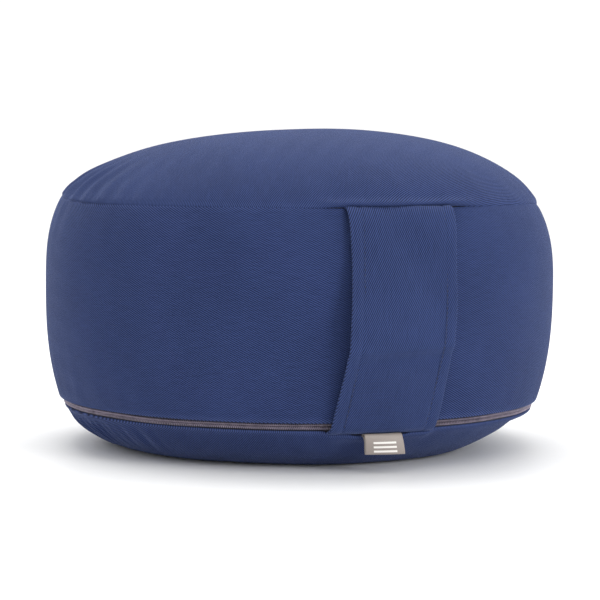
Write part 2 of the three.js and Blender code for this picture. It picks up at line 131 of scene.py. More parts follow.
def smooth_line(points, spacing):
    """Curve through points (Catmull-Rom: each span is the cubic whose end slopes join its neighbours),
    then points on it at an even spacing."""
    p = np.asarray(points, float)
    p = np.vstack([2 * p[0] - p[1], p, 2 * p[-1] - p[-2]])
    t = np.linspace(0, len(p) - 3, 40 * (len(p) - 3) + 1)
    i = np.minimum(t.astype(int), len(p) - 4)
    f = (t - i)[:, None]
    a, b, c, d = p[i], p[i + 1], p[i + 2], p[i + 3]
    dense = 0.5 * (2 * b + (c - a) * f + (2 * a - 5 * b + 4 * c - d) * f**2 + (3 * b - a - 3 * c + d) * f**3)
    return evenly(dense, spacing)


def evenly(line, spacing):
    """A polyline resampled to an even spacing along its length."""
    run = np.concatenate([[0], np.cumsum(np.linalg.norm(np.diff(line, axis=0), axis=1))])
    at = np.linspace(0, run[-1], max(2, int(round(run[-1] / spacing)) + 1))
    return np.stack([np.interp(at, run, line[:, k]) for k in range(line.shape[1])], -1)


def run_of(line):
    """Length along a polyline at each of its points."""
    return np.concatenate([[0], np.cumsum(np.linalg.norm(np.diff(line, axis=0), axis=1))])


# ---- Meshes ----------------------------------------------------------------------------------------------------


def grid_faces(rows, columns, wrap_rows, wrap_columns):
    """Corner numbers of each quad of a grid, counted on a grid that is one wider where it wraps."""
    i, j = np.meshgrid(np.arange(rows - 1 + wrap_rows), np.arange(columns - 1 + wrap_columns), indexing="ij")
    return np.stack([np.stack(c, -1) for c in ((i, j), (i, j + 1), (i + 1, j + 1), (i + 1, j))], 2).reshape(-1, 4, 2)


def put_grids(name, grids, material, weld=False):
    """One mesh object from grids of points in mm. Each grid is a dict: points (rows, columns, 3), wrap (rows,
    columns), and optionally uv on the grid one wider where it wraps, a wear weight (rows, columns) that also
    paints a highlight on folded edges, flip, and piece_rows, where every so many rows are a piece of their own."""
    verts, faces, uvs, wear_and_highlight, base = [], [], [], [], 0
    for g in grids:
        points = g["points"]
        rows, columns = points.shape[:2]
        wrap = g.get("wrap", (False, True))
        corner = grid_faces(rows, columns, *wrap)
        if "piece_rows" in g:
            corner = corner[corner[:, 0, 0] % g["piece_rows"] != g["piece_rows"] - 1]
        if g.get("flip"):
            corner = corner[:, ::-1]
        verts.append(points.reshape(-1, 3))
        faces.append((corner[..., 0] % rows) * columns + corner[..., 1] % columns + base)
        if "uv" in g:
            uvs.append(g["uv"][corner[..., 0], corner[..., 1]])
        else:
            uvs.append(np.zeros(corner.shape, float))
        wear_and_highlight.append(np.broadcast_to(g.get("wear_and_highlight", 0.0), (rows, columns)).reshape(-1))
        base += rows * columns
    verts, faces, uvs = np.concatenate(verts) * MM, np.concatenate(faces), np.concatenate(uvs)
    mesh = bpy.data.meshes.new(name)
    mesh.vertices.add(len(verts))
    mesh.vertices.foreach_set("co", verts.astype(np.float32).ravel())
    mesh.loops.add(faces.size)
    mesh.loops.foreach_set("vertex_index", faces.astype(np.int32).ravel())
    mesh.polygons.add(len(faces))
    mesh.polygons.foreach_set("loop_start", np.arange(0, faces.size, 4, dtype=np.int32))
    mesh.uv_layers.new(name="cloth").data.foreach_set("uv", (uvs * MM).astype(np.float32).ravel())
    worn_and_lit = mesh.attributes.new("wear_and_highlight", "FLOAT", "POINT")
    worn_and_lit.data.foreach_set("value", np.concatenate(wear_and_highlight).astype(np.float32))
    mesh.update(calc_edges=True)
    mesh.validate()
    if weld:
        welded = bmesh.new()
        welded.from_mesh(mesh)
        bmesh.ops.remove_doubles(welded, verts=welded.verts, dist=1e-6)
        welded.to_mesh(mesh)
        welded.free()
    mesh.polygons.foreach_set("use_smooth", np.ones(len(mesh.polygons), bool))
    mesh.materials.append(material)
    obj = bpy.data.objects.new(name, mesh)
    bpy.context.scene.collection.objects.link(obj)
    return obj


def surface_normals(points, wrap_columns=True):
    """Unit normals of a grid: along its columns crossed with along its rows."""
    if wrap_columns:
        east = np.roll(points, -1, 1) - np.roll(points, 1, 1)
    else:
        east = np.gradient(points, axis=1)
    normal = np.cross(east, np.gradient(points, axis=0))
    size = np.linalg.norm(normal, axis=-1, keepdims=True)
    for row, inner in ((0, 1), (-1, -2)):
        if size[row].max() < 1e-6:
            normal[row] = normal[inner].mean(0)
            size[row] = np.linalg.norm(normal[row], axis=-1, keepdims=True)
    return normal / np.maximum(size, 1e-9)


def cloth_shell(name, outer, uv, wear_and_highlight, depth, material, poles=(False, False), turns=4, skip=3):
    """Closed cloth from its outer face. The inner face is the outer one moved in by its depth, on every third
    row, and each edge that isn't a pole is a half circle from one face to the other."""
    normal = surface_normals(outer)
    depth = np.broadcast_to(depth, outer.shape[:2])[..., None]
    inner = outer - normal * depth
    keep = np.unique(np.concatenate([[0, 1, 2], np.arange(3, len(outer), skip), [len(outer) - 2, len(outer) - 1]]))

    def half_round(row, nextrow):
        away = outer[row] - outer[nextrow]
        away /= np.maximum(np.linalg.norm(away, axis=-1, keepdims=True), 1e-9)
        centre = outer[row] - normal[row] * depth[row] / 2
        around = np.linspace(0, np.pi, turns + 2)[1:-1, None, None]
        return centre + (normal[row] * np.cos(around) + away * np.sin(around)) * depth[row] / 2

    back = inner[keep][::-1]
    uv_back, wear_back = uv[keep][::-1], wear_and_highlight[keep][::-1]
    parts, uvs, worn_and_lit = [outer], [uv], [wear_and_highlight]
    if not poles[1]:
        parts.append(half_round(-1, -2))
        uvs.append(np.repeat(uv[-1:], turns, 0))
        worn_and_lit.append(np.repeat(wear_and_highlight[-1:], turns, 0))
    parts.append(back)
    uvs.append(uv_back)
    worn_and_lit.append(wear_back * 0)
    if not poles[0]:
        parts.append(half_round(0, 1)[::-1])
        uvs.append(np.repeat(uv[:1], turns, 0))
        worn_and_lit.append(np.repeat(wear_and_highlight[:1], turns, 0))
    points, uvs, worn_and_lit = np.concatenate(parts), np.concatenate(uvs), np.concatenate(worn_and_lit)
    uvs = np.concatenate([uvs, uvs[:1]])
    grid = {"points": points, "wrap": (True, True), "uv": uvs, "wear_and_highlight": worn_and_lit}
    return put_grids(name, [grid], material, weld=any(poles))


def tube_grid(line, out, radius, sides=6, closed=False):
    """A round tube along a line: at each point a circle spanned by the given out direction and the one across
    it and the line. Open ends are drawn in to a point, one row past each end."""
    line, out = np.asarray(line, float), np.broadcast_to(out, np.shape(line)).astype(float)
    radius = np.broadcast_to(radius, len(line)).astype(float)
    if closed:
        way = np.roll(line, -1, 0) - np.roll(line, 1, 0)
    else:
        way = np.gradient(line, axis=0)
    way /= np.linalg.norm(way, axis=1, keepdims=True)
    out = out - way * (out * way).sum(1, keepdims=True)
    out /= np.linalg.norm(out, axis=1, keepdims=True)
    side = np.cross(way, out)
    turn = np.arange(sides) / sides * TURN
    ring = out[:, None] * np.cos(turn)[:, None] + side[:, None] * np.sin(turn)[:, None]
    points = line[:, None] + ring * radius[:, None, None]
    if not closed:
        first = np.repeat(line[:1, None] - way[:1, None] * radius[0] * 0.5, sides, 1)
        last = np.repeat(line[-1:, None] + way[-1:, None] * radius[-1] * 0.5, sides, 1)
        points = np.concatenate([first, points, last])
    return {"points": points, "wrap": (closed, True), "flip": True}


# ---- Node materials --------------------------------------------------------------------------------------------


def add(tree, kind, links=None, **settings):
    """Adds a shader node. Settings name its properties or, with _ for a space, its sockets; links map an input
    socket to an output socket or to a plain value."""
    node = tree.nodes.new("ShaderNode" + kind)
    for key, value in settings.items():
        if key.startswith("in_"):
            name = key[3:]
            socket = node.inputs[int(name)] if name.isdigit() else node.inputs[name.replace("_", " ")]
            socket.default_value = value
        else:
            setattr(node, key, value)
    for name, source in (links or {}).items():
        if isinstance(source, bpy.types.NodeSocket):
            tree.links.new(source, node.inputs[name])
        else:
            node.inputs[name].default_value = source
    return node


def new_material(name):
    """An empty node material and its tree, with a Principled shader linked to the output."""
    material = bpy.data.materials.new(name)
    material.use_nodes = True
    tree = material.node_tree
    tree.nodes.clear()
    shader = add(tree, "BsdfPrincipled")
    add(tree, "OutputMaterial", {"Surface": shader.outputs[0]})
    return material, tree, shader


def finish(tree, shader, tone, shades, relief, **values):
    """Gives a shader two shades mixed by a tone, a relief as height, strength and depth in metres, and its other
    values by name, with _ for a space."""
    mixed = add(tree, "Mix", {0: tone, 6: linear(shades[0]), 7: linear(shades[1])}, data_type="RGBA")
    tree.links.new(mixed.outputs[2], shader.inputs["Base Color"])
    if relief:
        height, strength, depth = relief
        bump = add(tree, "Bump", {"Height": height, "Strength": strength, "Distance": depth})
        tree.links.new(bump.outputs[0], shader.inputs["Normal"])
    for name, value in values.items():
        shader.inputs[name.replace("_", " ")].default_value = value


WALE = 1.05  # spacing of the diagonal ribs in mm
WALE_ANGLE = np.radians(27)


def cotton_twill(name, dark, light, worn_and_lit_code):
    """Piece-dyed cotton drill, three-up one-down twill: steep ribs at 27 degrees to the warp with shallow
    furrows between them, matt, with a soft bloom of fibre ends at glancing angles. The ribs are 1.05 mm apart;
    the single yarns in them are drawn three to a rib, as coarse as they need to show."""
    material, tree, shader = new_material(name)
    uv = add(tree, "UVMap", uv_map="cloth").outputs[0]
    drift = add(tree, "TexNoise", {"Vector": uv}, in_Scale=60.0, in_Detail=2.0)
    centred = add(tree, "VectorMath", {0: drift.outputs["Color"]}, operation="SUBTRACT")
    centred.inputs[1].default_value = (0.5, 0.5, 0.5)
    moved = add(tree, "VectorMath", {0: centred.outputs[0], 2: uv}, operation="MULTIPLY_ADD")
    moved.inputs[1].default_value = (0.0006, 0.0006, 0)
    place = moved.outputs[0]
    per_metre = 1 / (WALE * MM)

    def phase(across_u, across_v):
        node = add(tree, "VectorMath", {0: place}, operation="DOT_PRODUCT")
        node.inputs[1].default_value = (across_u * TURN, across_v * TURN, 0)
        return add(tree, "Math", {0: node.outputs["Value"]}, operation="SINE").outputs[0]

    rib = phase(per_metre * np.sin(WALE_ANGLE), per_metre * np.cos(WALE_ANGLE))
    warp = phase(0.0, 2.6 * per_metre)
    weft = phase(1.35 * per_metre, 0.0)
    fibre = add(tree, "TexNoise", {"Vector": place}, in_Scale=4200.0, in_Detail=2.0, in_Roughness=0.7)
    ribs = add(tree, "Math", {0: rib, 1: 0.5, 2: 0.5}, operation="MULTIPLY_ADD").outputs[0]
    yarns = add(tree, "Math", {0: warp, 1: weft}, operation="MULTIPLY").outputs[0]
    height = add(tree, "Math", {0: yarns, 1: 0.14, 2: ribs}, operation="MULTIPLY_ADD").outputs[0]
    height = add(tree, "Math", {0: fibre.outputs[0], 1: 0.35, 2: height}, operation="MULTIPLY_ADD").outputs[0]
    slub_place = add(tree, "Mapping", {"Vector": uv}, in_Scale=(90.0, 1500.0, 1.0))
    slub = add(tree, "TexNoise", {"Vector": slub_place.outputs[0]}, in_Scale=1.0, in_Detail=1.0)
    cloud = add(tree, "TexNoise", {"Vector": uv}, in_Scale=22.0, in_Detail=3.0)
    tone = add(tree, "Math", {0: height, 1: 0.9, 2: -0.24}, operation="MULTIPLY_ADD").outputs[0]
    tone = add(tree, "Math", {0: slub.outputs[0], 1: 0.35, 2: tone}, operation="MULTIPLY_ADD").outputs[0]
    tone = add(tree, "Math", {0: cloud.outputs[0], 1: 0.3, 2: tone}, operation="MULTIPLY_ADD").outputs[0]
    tone = add(tree, "Math", {0: tone, 1: -0.22}, operation="ADD", use_clamp=True).outputs[0]
    colour = add(tree, "Mix", {0: tone}, data_type="RGBA")
    colour.inputs[6].default_value = linear(dark)
    colour.inputs[7].default_value = linear(light)
    # Rib tops lighten towards folded edges by the mesh's wear weight: partly rubbed wear, partly a painted highlight
    # where the rolled edges catch the light.
    wear_and_highlight = add(tree, "Attribute", attribute_name="wear_and_highlight").outputs["Fac"]
    rubbed = add(tree, "Math", {0: wear_and_highlight, 1: ribs}, operation="MULTIPLY").outputs[0]
    rubbed = add(tree, "Math", {0: rubbed, 1: 0.12}, operation="MULTIPLY", use_clamp=True).outputs[0]
    edge = add(tree, "Mix", {0: rubbed, 6: colour.outputs[2]}, data_type="RGBA")
    edge.inputs[7].default_value = linear(worn_and_lit_code)
    tree.links.new(edge.outputs[2], shader.inputs["Base Color"])
    flattened = add(tree, "Math", {0: wear_and_highlight, 1: -0.65, 2: 0.8}, operation="MULTIPLY_ADD", use_clamp=True).outputs[0]
    bump = add(tree, "Bump", {"Strength": flattened, "Height": height}, in_Distance=0.0003)
    tree.links.new(bump.outputs[0], shader.inputs["Normal"])
    shader.inputs["Roughness"].default_value = 0.88
    shader.inputs["IOR"].default_value = 1.46
    shader.inputs["Specular IOR Level"].default_value = 0.2
    shader.inputs["Sheen Weight"].default_value = 0.3
    shader.inputs["Sheen Roughness"].default_value = 0.22
    shader.inputs["Sheen Tint"].default_value = linear("#9fb0e6")
    return material


# ---- Cover: profiles -------------------------------------------------------------------------------------------


def band_radius(z):
    """Radius of the band at a height: the widest radius less a power of the distance from its height."""
    above = z > WIDEST_HEIGHT
    end_z = np.where(above, TOP_SEAM, BAND_FOOT[1])
    drop = np.where(above, WIDEST - TOP_SEAM_RADIUS, WIDEST - BAND_FOOT[0])
    power = np.where(above, 2.9, 2.6)
    return WIDEST - drop * np.abs((z - WIDEST_HEIGHT) / (end_z - WIDEST_HEIGHT)) ** power


def dome_height(r):
    """Height of the top panel at a radius: a flattened dome that meets the seam steeply."""
    return TOP_SEAM + (CROWN - TOP_SEAM) * (1 - (r / TOP_SEAM_RADIUS) ** 2.35) ** 0.72


RIM = beside_zip(-HALF_CHAIN - 1.45, -0.4)


def bottom_height(r):
    """Height of the bottom panel at a radius: flat where it rests, then rising to the rim."""
    share = np.maximum((r - REST_RADIUS) / (RIM[0] - REST_RADIUS), 0)
    return RIM[1] * share**2.15


def panel_rows(profile, near, far):
    """Rows of a panel along its profile, 2.4 mm apart, and close together beside each sewn edge, where near and
    far say which ends are sewn. Returns radius and height of each row, its run, and the whole run."""
    line = evenly(profile, 0.2)
    run = run_of(line)
    total = run[-1]
    close = np.concatenate([np.arange(0, 2.4, 0.4), np.arange(2.4, 12, 0.9)])
    at = [np.arange(12, total - 12, 2.4)]
    at.append(close if near else np.arange(0, 12, 2.4))
    at.append(total - (close if far else np.arange(0, 12, 2.4)))
    at = np.unique(np.round(np.concatenate(at), 3).clip(0, total))
    return np.stack([np.interp(at, run, line[:, 0]), np.interp(at, run, line[:, 1])], -1), at, total


def cover_profiles():
    """Radius and height of the three cover panels, from the middle of the bottom to the middle of the top."""
    out = np.linspace(0, 1, 60)
    dish = np.linspace(3, REST_RADIUS, 34)
    bottom_r = np.concatenate([[0.0], dish, REST_RADIUS + (RIM[0] - REST_RADIUS) * out[1:]])
    bottom = np.stack([bottom_r, bottom_height(bottom_r)], -1)
    band_z = np.linspace(BAND_FOOT[1], TOP_SEAM, 140)
    band = np.stack([band_radius(band_z), band_z], -1)
    top_r = TOP_SEAM_RADIUS * np.cos(np.linspace(0, np.pi / 2, 200))
    top_r[-1] = 0
    top = np.stack([top_r, dome_height(top_r)], -1)
    return {"bottom_panel": bottom, "side_band": band, "top_panel": top}


# Uneven stretch of the cloth round the cushion: where the cut pulls on the bias, and where the filling sags
def bias(angle):
    """How slack the cloth is at an angle, 0 to about 1: four bias corners, the one at the left the slackest."""
    return np.minimum(lobe(angle, -106, 26) + 0.45 * lobe(angle, -14, 20) + 0.6 * lobe(angle, 78, 24)
                      + 0.6 * lobe(angle, 168, 26), 1)


def strap_window(angle, shift=0.0):
    """1 where the strap passes through a seam, falling to 0 just past its edges."""
    across = np.abs(TOP_SEAM_RADIUS * np.sin(angle) - shift)
    at_front = np.cos(angle) > 0
    return at_front * (1 - step(28, 34, across))


def simulated_folds(angles):
    """Cloth simulation of the whole cover, pinned along its seams and cut a little too wide beside them, blown
    up from inside without gravity. Returns, for each panel, its rows' run and how far each point went out
    beyond the mean of its row, with the long waves taken out, at most 3.2 mm."""
    columns = 288
    turn = np.arange(columns) / columns * TURN
    profiles = cover_profiles()
    bottom = evenly(profiles["bottom_panel"][profiles["bottom_panel"][:, 0] > 88], 3.2)
    band = evenly(profiles["side_band"], 3.2)
    top = evenly(profiles["top_panel"][profiles["top_panel"][:, 0] > 60], 3.2)
    chain = np.array([beside_zip(-1.4, -0.3), beside_zip(1.2, -0.3)])
    line = np.concatenate([bottom, chain, band, top[1:]])
    marks = np.cumsum([0, len(bottom), 2, len(band), len(top) - 1])
    held = np.zeros(len(line))
    held[[0, -1]] = 1
    held[marks[1] - 1 : marks[2] + 1] = 1
    held[marks[3] - 1] = 1
    angle, _ = np.meshgrid(turn, np.arange(len(line)))
    points = round_axis(line[:, :1], line[:, 1:], angle)
    slack = bias(angle)
    ease = np.full(angle.shape, 0.006)
    ease[: marks[1]] = 0.012 + 0.05 * lobe(angle[: marks[1]], -84, 34) + 0.02 * slack[: marks[1]]
    ease[marks[2] : marks[3]] = 0.004 + 0.006 * slack[marks[2] : marks[3]]
    ease[marks[3] :] = 0.01 + 0.04 * slack[marks[3] :]
    ease *= 1 + 0.25 * ripple(angle, 3, 40, 5)
    cut = points * np.stack([1 + ease, 1 + ease, np.ones_like(ease)], -1)
    obj = put_grids("folds", [{"points": points}], bpy.data.materials[0])
    pins = obj.vertex_groups.new(name="pins")
    for weight in (0, 1):
        pins.add(np.flatnonzero(np.repeat(held, columns) == weight).tolist(), float(weight), "REPLACE")
    obj.shape_key_add(name="Basis")
    key = obj.shape_key_add(name="cut")
    key.data.foreach_set("co", (cut * MM).astype(np.float32).ravel())
    key.value = 0
    cloth = obj.modifiers.new("cloth", "CLOTH")
    made = cloth.settings
    made.quality = 5
    made.mass = 0.25
    made.tension_stiffness = made.compression_stiffness = 30
    made.shear_stiffness = 8
    made.bending_stiffness = 0.12
    made.air_damping = 3
    made.vertex_group_mass = "pins"
    made.rest_shape_key = key
    made.use_pressure = True
    made.uniform_pressure_force = 3.5
    made.effector_weights.gravity = 0
    cloth.collision_settings.use_collision = False
    scene = bpy.context.scene
    cloth.point_cache.frame_start, cloth.point_cache.frame_end = 1, 22
    for frame_number in range(1, 23):
        scene.frame_set(frame_number)
    ready = obj.evaluated_get(bpy.context.evaluated_depsgraph_get())
    moved = np.empty(len(ready.data.vertices) * 3, np.float32)
    ready.data.vertices.foreach_get("co", moved)
    moved = moved.reshape(points.shape) / MM - points
    bpy.data.objects.remove(obj)
    scene.frame_set(1)
    away = (moved * surface_normals(points)).sum(-1)
    waves = np.fft.rfft(away, axis=1)
    waves[:, :5] = 0
    away = np.fft.irfft(waves, columns, axis=1)
    away = 3.2 * np.tanh(away / 3.2)
    folds = {}
    total = run_of(profiles["bottom_panel"])[-1]
    for name, rows, run in (
        ("bottom_panel", slice(0, marks[1]), total - run_of(bottom)[-1] + run_of(bottom)),
        ("side_band", slice(marks[2], marks[3]), run_of(band)),
        ("top_panel", slice(marks[3] - 1, marks[4]), run_of(top)),
    ):
        dense = np.stack([np.interp(angles, np.append(turn, TURN), np.append(row, row[0])) for row in away[rows]])
        folds[name] = (run, dense)
    return folds


def fold_field(folds, name, at):
    """The simulated folds of one panel, carried to the runs of its fine rows, and 0 past their ends."""
    if not folds:
        return 0.0
    run, value = folds[name]
    spot = np.clip(np.searchsorted(run, at) - 1, 0, len(run) - 2)
    share = np.clip((at - run[spot]) / (run[spot + 1] - run[spot]), 0, 1)[:, None]
    inside = ((at >= run[0] - 0.01) & (at <= run[-1] + 0.01))[:, None]
    return inside * (value[spot] * (1 - share) + value[spot + 1] * share)


def stitch_puckers(angle, away, seed, tight=0.09):
    """Gathers beside a seam: short waves 5 to 8 mm long that die out within 6 mm, and broader ones within 20."""
    fine = tight * ripple(angle, 120, 190, seed) * np.exp(-(((away - 3) / 3) ** 2))
    broad = ripple(angle, 26, 64, seed + 1) * np.exp(-((away / 22) ** 1.5)) * (1 - np.exp(-away / 2.5))
    return fine + (0.16 + 0.75 * bias(angle)) * broad


def make_bottom(angle, folds):
    """Outer face of the bottom panel: a flat disc that rises outside its rest to the folded rim under the zip.
    It droops at the left and is pulled under at the right; folds fall from the zip where it is slack."""
    rows, at, total = panel_rows(cover_profiles()["bottom_panel"], False, True)
    away = (total - at)[:, None]
    free = step(REST_RADIUS - 6, REST_RADIUS + 14, rows[:, :1])
    belly = free * np.sin(np.pi * np.clip((total - at) / 50, 0, 1))[:, None]
    lift = 1.5 * np.cos(angle + np.radians(111)) * belly - 1.6 * lobe(angle, 62, 34) * belly
    lift = lift - 1.7 * lobe(angle, 66, 30) * np.exp(-(((away - 7) / 8) ** 2))
    lift = lift + free * fold_field(folds, "bottom_panel", at)
    lift = lift + free * stitch_puckers(angle, away, 31, 0.02)
    lift = lift + free * 0.6 * lobe(angle, -80, 26) * ripple(angle, 44, 84, 35) * np.exp(-((away - 13) / 12) ** 2)
    lift = lift + free * 0.55 * lobe(angle, -84, 20) * ripple(angle, 88, 140, 37) * np.exp(-((away - 13) / 10) ** 2)
    lift = lift + 0.4 * free * ripple(angle, 3, 9, 36)
    lift = lift * (1 - np.exp(-((away / 4) ** 2)))
    points = round_axis(rows[:, :1], rows[:, 1:], angle)
    points = points + surface_normals(points) * lift[..., None]
    points[..., 2] = np.where(free > 0, np.maximum(points[..., 2], 0.02), points[..., 2])
    window = strap_window(angle, -STRAP_SKEW / 2) * np.exp(-((away / 6) ** 2))
    tagged = step(19, 15, np.abs(angle_to_x(angle) + 5.6)) * (np.cos(angle) > 0) * np.exp(-((away / 6) ** 2))
    points[..., 2] -= 1.9 * window + 0.9 * tagged
    points *= 1 - (0.004 * window + 0.002 * tagged)[..., None] * (1, 1, 0)
    turn = np.radians(-115.4)
    uv = flat_cloth(at, angle, turn, np.cos)
    # Lighter at the folded rim: partly rubbed wear, partly a painted highlight. The ring where the panel leaves the
    # floor is rubbed wear.
    wear_and_highlight = np.exp(-((away / 2.0) ** 2)) + 0.35 * np.exp(-(((rows[:, :1] - REST_RADIUS - 3) / 9) ** 2))
    return points, uv, wear_and_highlight + 0 * angle, np.where(away < 9, HEM, CLOTH) + 0 * angle


def angle_to_x(angle):
    """How far a point of the seams at an angle stands to the right of the middle, in mm."""
    return TOP_SEAM_RADIUS * np.sin(angle)


def flat_cloth(run, angle, turn, away_axis):
    """Cloth of a disc laid flat, seen from its face: each point at its run from the middle and its angle, turned
    so that the warp lies as it does on the cushion. Goes one column past the last, to close the circle."""
    sign = 1 if away_axis is np.cos else -1
    full = np.append(angle[0], TURN)
    flat = np.multiply.outer(run, np.stack([np.sin(full), sign * np.cos(full)], -1))
    c, s = np.cos(turn), np.sin(turn)
    return np.stack([c * flat[..., 0] - s * flat[..., 1], s * flat[..., 0] + c * flat[..., 1]], -1)


def seam_lift(angle):
    """The top seam rises at the left corner, dips beside it and sinks at the right."""
    return (1.3 * lobe(angle, -114, 14) - 0.9 * lobe(angle, -80, 14) - 0.4 * lobe(angle, -58, 18)
            - 0.7 * lobe(angle, -2, 14) - 2.4 * lobe(angle, 70, 15))


def seam_groove(angle):
    """Depth of the top seam's groove round the cushion, deepest at the left corner and beside the strap."""
    corners = 0.9 * lobe(angle, -84, 17) + 0.9 * lobe(angle, 4, 20) + 0.4 * lobe(angle, 130, 60)
    return np.clip(0.14 + corners + 0.07 * ripple(angle, 3, 12, 41), 0.08, 1.4)


def make_band(angle, folds):
    """Outer face of the side band, from its folded foot over the zip to the top seam. It is the smoothest panel,
    with gathers at both edges and a shallow dent where the strap is sewn in."""
    rows, at, total = panel_rows(cover_profiles()["side_band"], True, True)
    up, down = at[:, None], (total - at)[:, None]
    lift = fold_field(folds, "side_band", at) * 0.7
    lift = lift + 0.55 * stitch_puckers(angle, down, 51) + 0.45 * stitch_puckers(angle, up, 53)
    slow = ripple(angle, 2, 7, 55) * np.sin(np.pi * at / total)[:, None]
    drift = ripple(angle, 5, 16, 56) * np.sin(2 * np.pi * at / total)[:, None]
    lift = lift + 0.6 * slow + 0.3 * drift
    lift = lift * (1 - np.exp(-down / 1.5)) * (1 - 0.6 * np.exp(-up / 2.0))
    points = round_axis(rows[:, :1], rows[:, 1:], angle)
    points = points + surface_normals(points) * lift[..., None]
    points[..., 2] += seam_lift(angle) * step(60, 145, rows[:, 1:])
    inward = seam_groove(angle) * np.exp(-((down / 0.9) ** 1.5))
    window = strap_window(angle, STRAP_SKEW / 2)
    inward = inward + 1.2 * window * np.exp(-((down / 7) ** 2))
    points *= 1 - (inward / TOP_SEAM_RADIUS)[..., None] * (1, 1, 0)
    points[..., 2] -= 0.95 * window * np.exp(-((down / 5) ** 2))
    back = step(np.radians(ZIP_END - 1), np.radians(ZIP_END + 1.5), np.abs(from_angle(angle, 0)))
    closed = beside_zip(0.35, 0.2)
    pull = back * np.clip(1 - up / 16, 0, 1) ** 2
    points *= 1 + ((closed[0] - BAND_FOOT[0]) / ZIP_RADIUS * pull)[..., None] * (1, 1, 0)
    points[..., 2] += (closed[1] - BAND_FOOT[1]) * pull
    full = np.append(angle[0], TURN)
    uv = np.stack(np.broadcast_arrays(full * WIDEST, up), -1)
    # Lighter along the folded foot and the top seam: partly rubbed wear, partly a painted highlight.
    wear_and_highlight = np.exp(-((down / 1.6) ** 2)) * 0.7 + np.exp(-((up / 1.8) ** 2))
    return points, uv, wear_and_highlight + 0 * angle, np.where((up < 9) | (down < 9), HEM, CLOTH) + 0 * angle


def make_top(angle, folds):
    """Outer face of the top panel, from the seam to the middle. Its edge rolls out over the seam, most above
    the strap; radial folds run in from the seam where the cut pulls on the bias."""
    rows, at, total = panel_rows(cover_profiles()["top_panel"], True, False)
    away = at[:, None]
    calm = step(0, 40, rows[:, :1])
    lift = fold_field(folds, "top_panel", at) + stitch_puckers(angle, away, 61) * 1.15
    lift = lift + 2.0 * lobe(angle, -106, 24) * ripple(angle, 34, 60, 64) * np.exp(-((away - 13) / 22) ** 2)
    lift = lift + 0.5 * ripple(angle, 2, 6, 62) * np.exp(-(((away - 60) / 45) ** 2))
    lift = lift + 0.22 * ripple(angle, 12, 30, 63) * np.exp(-((away / 34) ** 2))
    shoulder = 0.9 * np.exp(-(((rows[:, :1] - 95) / 30) ** 2))
    dent = 0.8 * lobe(angle, -108, 26) * np.exp(-(((away - 9) / 9) ** 2))
    lift = lift * calm + shoulder - dent
    lift = lift * (1 - np.exp(-away / 1.5))
    points = round_axis(rows[:, :1], rows[:, 1:], angle)
    points = points + surface_normals(points) * lift[..., None]
    x = angle_to_x(angle)
    roll = step(-46, -30, x) * step(66, 36, x) * (np.cos(angle) > 0)
    lip = (2.1 * roll + 0.25 - 0.7 * lobe(angle, -112, 24)) * np.exp(-(((away - 3.2) / 2.6) ** 2))
    lip = lip * (1 - np.exp(-away / 0.8))
    inward = seam_groove(angle) * np.exp(-((away / 0.9) ** 1.5)) - lip
    points *= 1 - (inward / TOP_SEAM_RADIUS)[..., None] * (1, 1, 0)
    tilt = np.cos(angle + np.radians(111))
    middle = rows[:, :1] / 82 * np.exp(1 - (rows[:, :1] / 82) ** 1.0)
    points[..., 2] += seam_lift(angle) * np.exp(-((away / 9) ** 2))
    points[..., 2] -= 1.3 * tilt * middle * (1 - np.exp(-((away / 18) ** 2)))
    points[..., 2] += 0.85 * roll * np.exp(-((away / 4) ** 2))
    uv = flat_cloth(total - at, angle, np.radians(-61.6), np.sin)
    # Lighter just inside the seam's rolled edge: partly rubbed wear, partly a painted highlight.
    wear_and_highlight = 0.8 * np.exp(-(((away - 1.2) / 1.5) ** 2))
    return points, uv, wear_and_highlight + 0 * angle, np.where(away < 9, HEM, CLOTH) + 0 * angle


def declare(obj, body, slot, *nodes):
    """A finished piece rides on a body and stands for the nodes named, which are hidden; the slot is not used."""
    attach(obj, body)
    if nodes:
        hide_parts(*nodes)
    return obj


# ---- Strap ------------------------------------------------------------------------------------------------------

STRAP_LINE = [
    (136.8, 22.9), (139.4, 23.6), (141.6, 25.3), (143.1, 28.2), (145.0, 33.0), (147.4, 40), (150.2, 49), (153.2, 58),
    (156.0, 66.5), (157.6, 71.5), (158.0, 76), (157.6, 84), (156.4, 94), (154.0, 107), (151.2, 121), (148.2, 134),
    (145.0, 141.5), (141.8, 144.6), (138.4, 145.2),
]
STRAP_HALF = 30.5
STRAP_SKEW = 9.6


def strap_surface(across, run_share, lift):
    """A point of the strap: its line in radius and height at a share of its run, set across to the right, the
    far end skewed to the right of the near one. In plan it follows the round seams at its ends and is nearly
    flat between them. Lift moves it out of its own line."""
    line = smooth_line(STRAP_LINE, 0.5)
    run = run_of(line) / run_of(line)[-1]
    way = np.gradient(line, axis=0)
    way /= np.linalg.norm(way, axis=1, keepdims=True)
    r, z, wr, wz = (np.interp(run_share, run, v) for v in (line[:, 0], line[:, 1], way[:, 0], way[:, 1]))
    round_share = 1 - 0.9 * np.sin(np.pi * np.clip(run_share, 0, 1)) ** 0.7
    drop = round_share * across**2 / (2 * TOP_SEAM_RADIUS)
    x = across + STRAP_SKEW * (run_share - 0.5)
    return np.stack(np.broadcast_arrays(x, -(r + wz * lift - drop), z - wr * lift), -1)


def strap_length():
    return run_of(smooth_line(STRAP_LINE, 0.5))[-1]


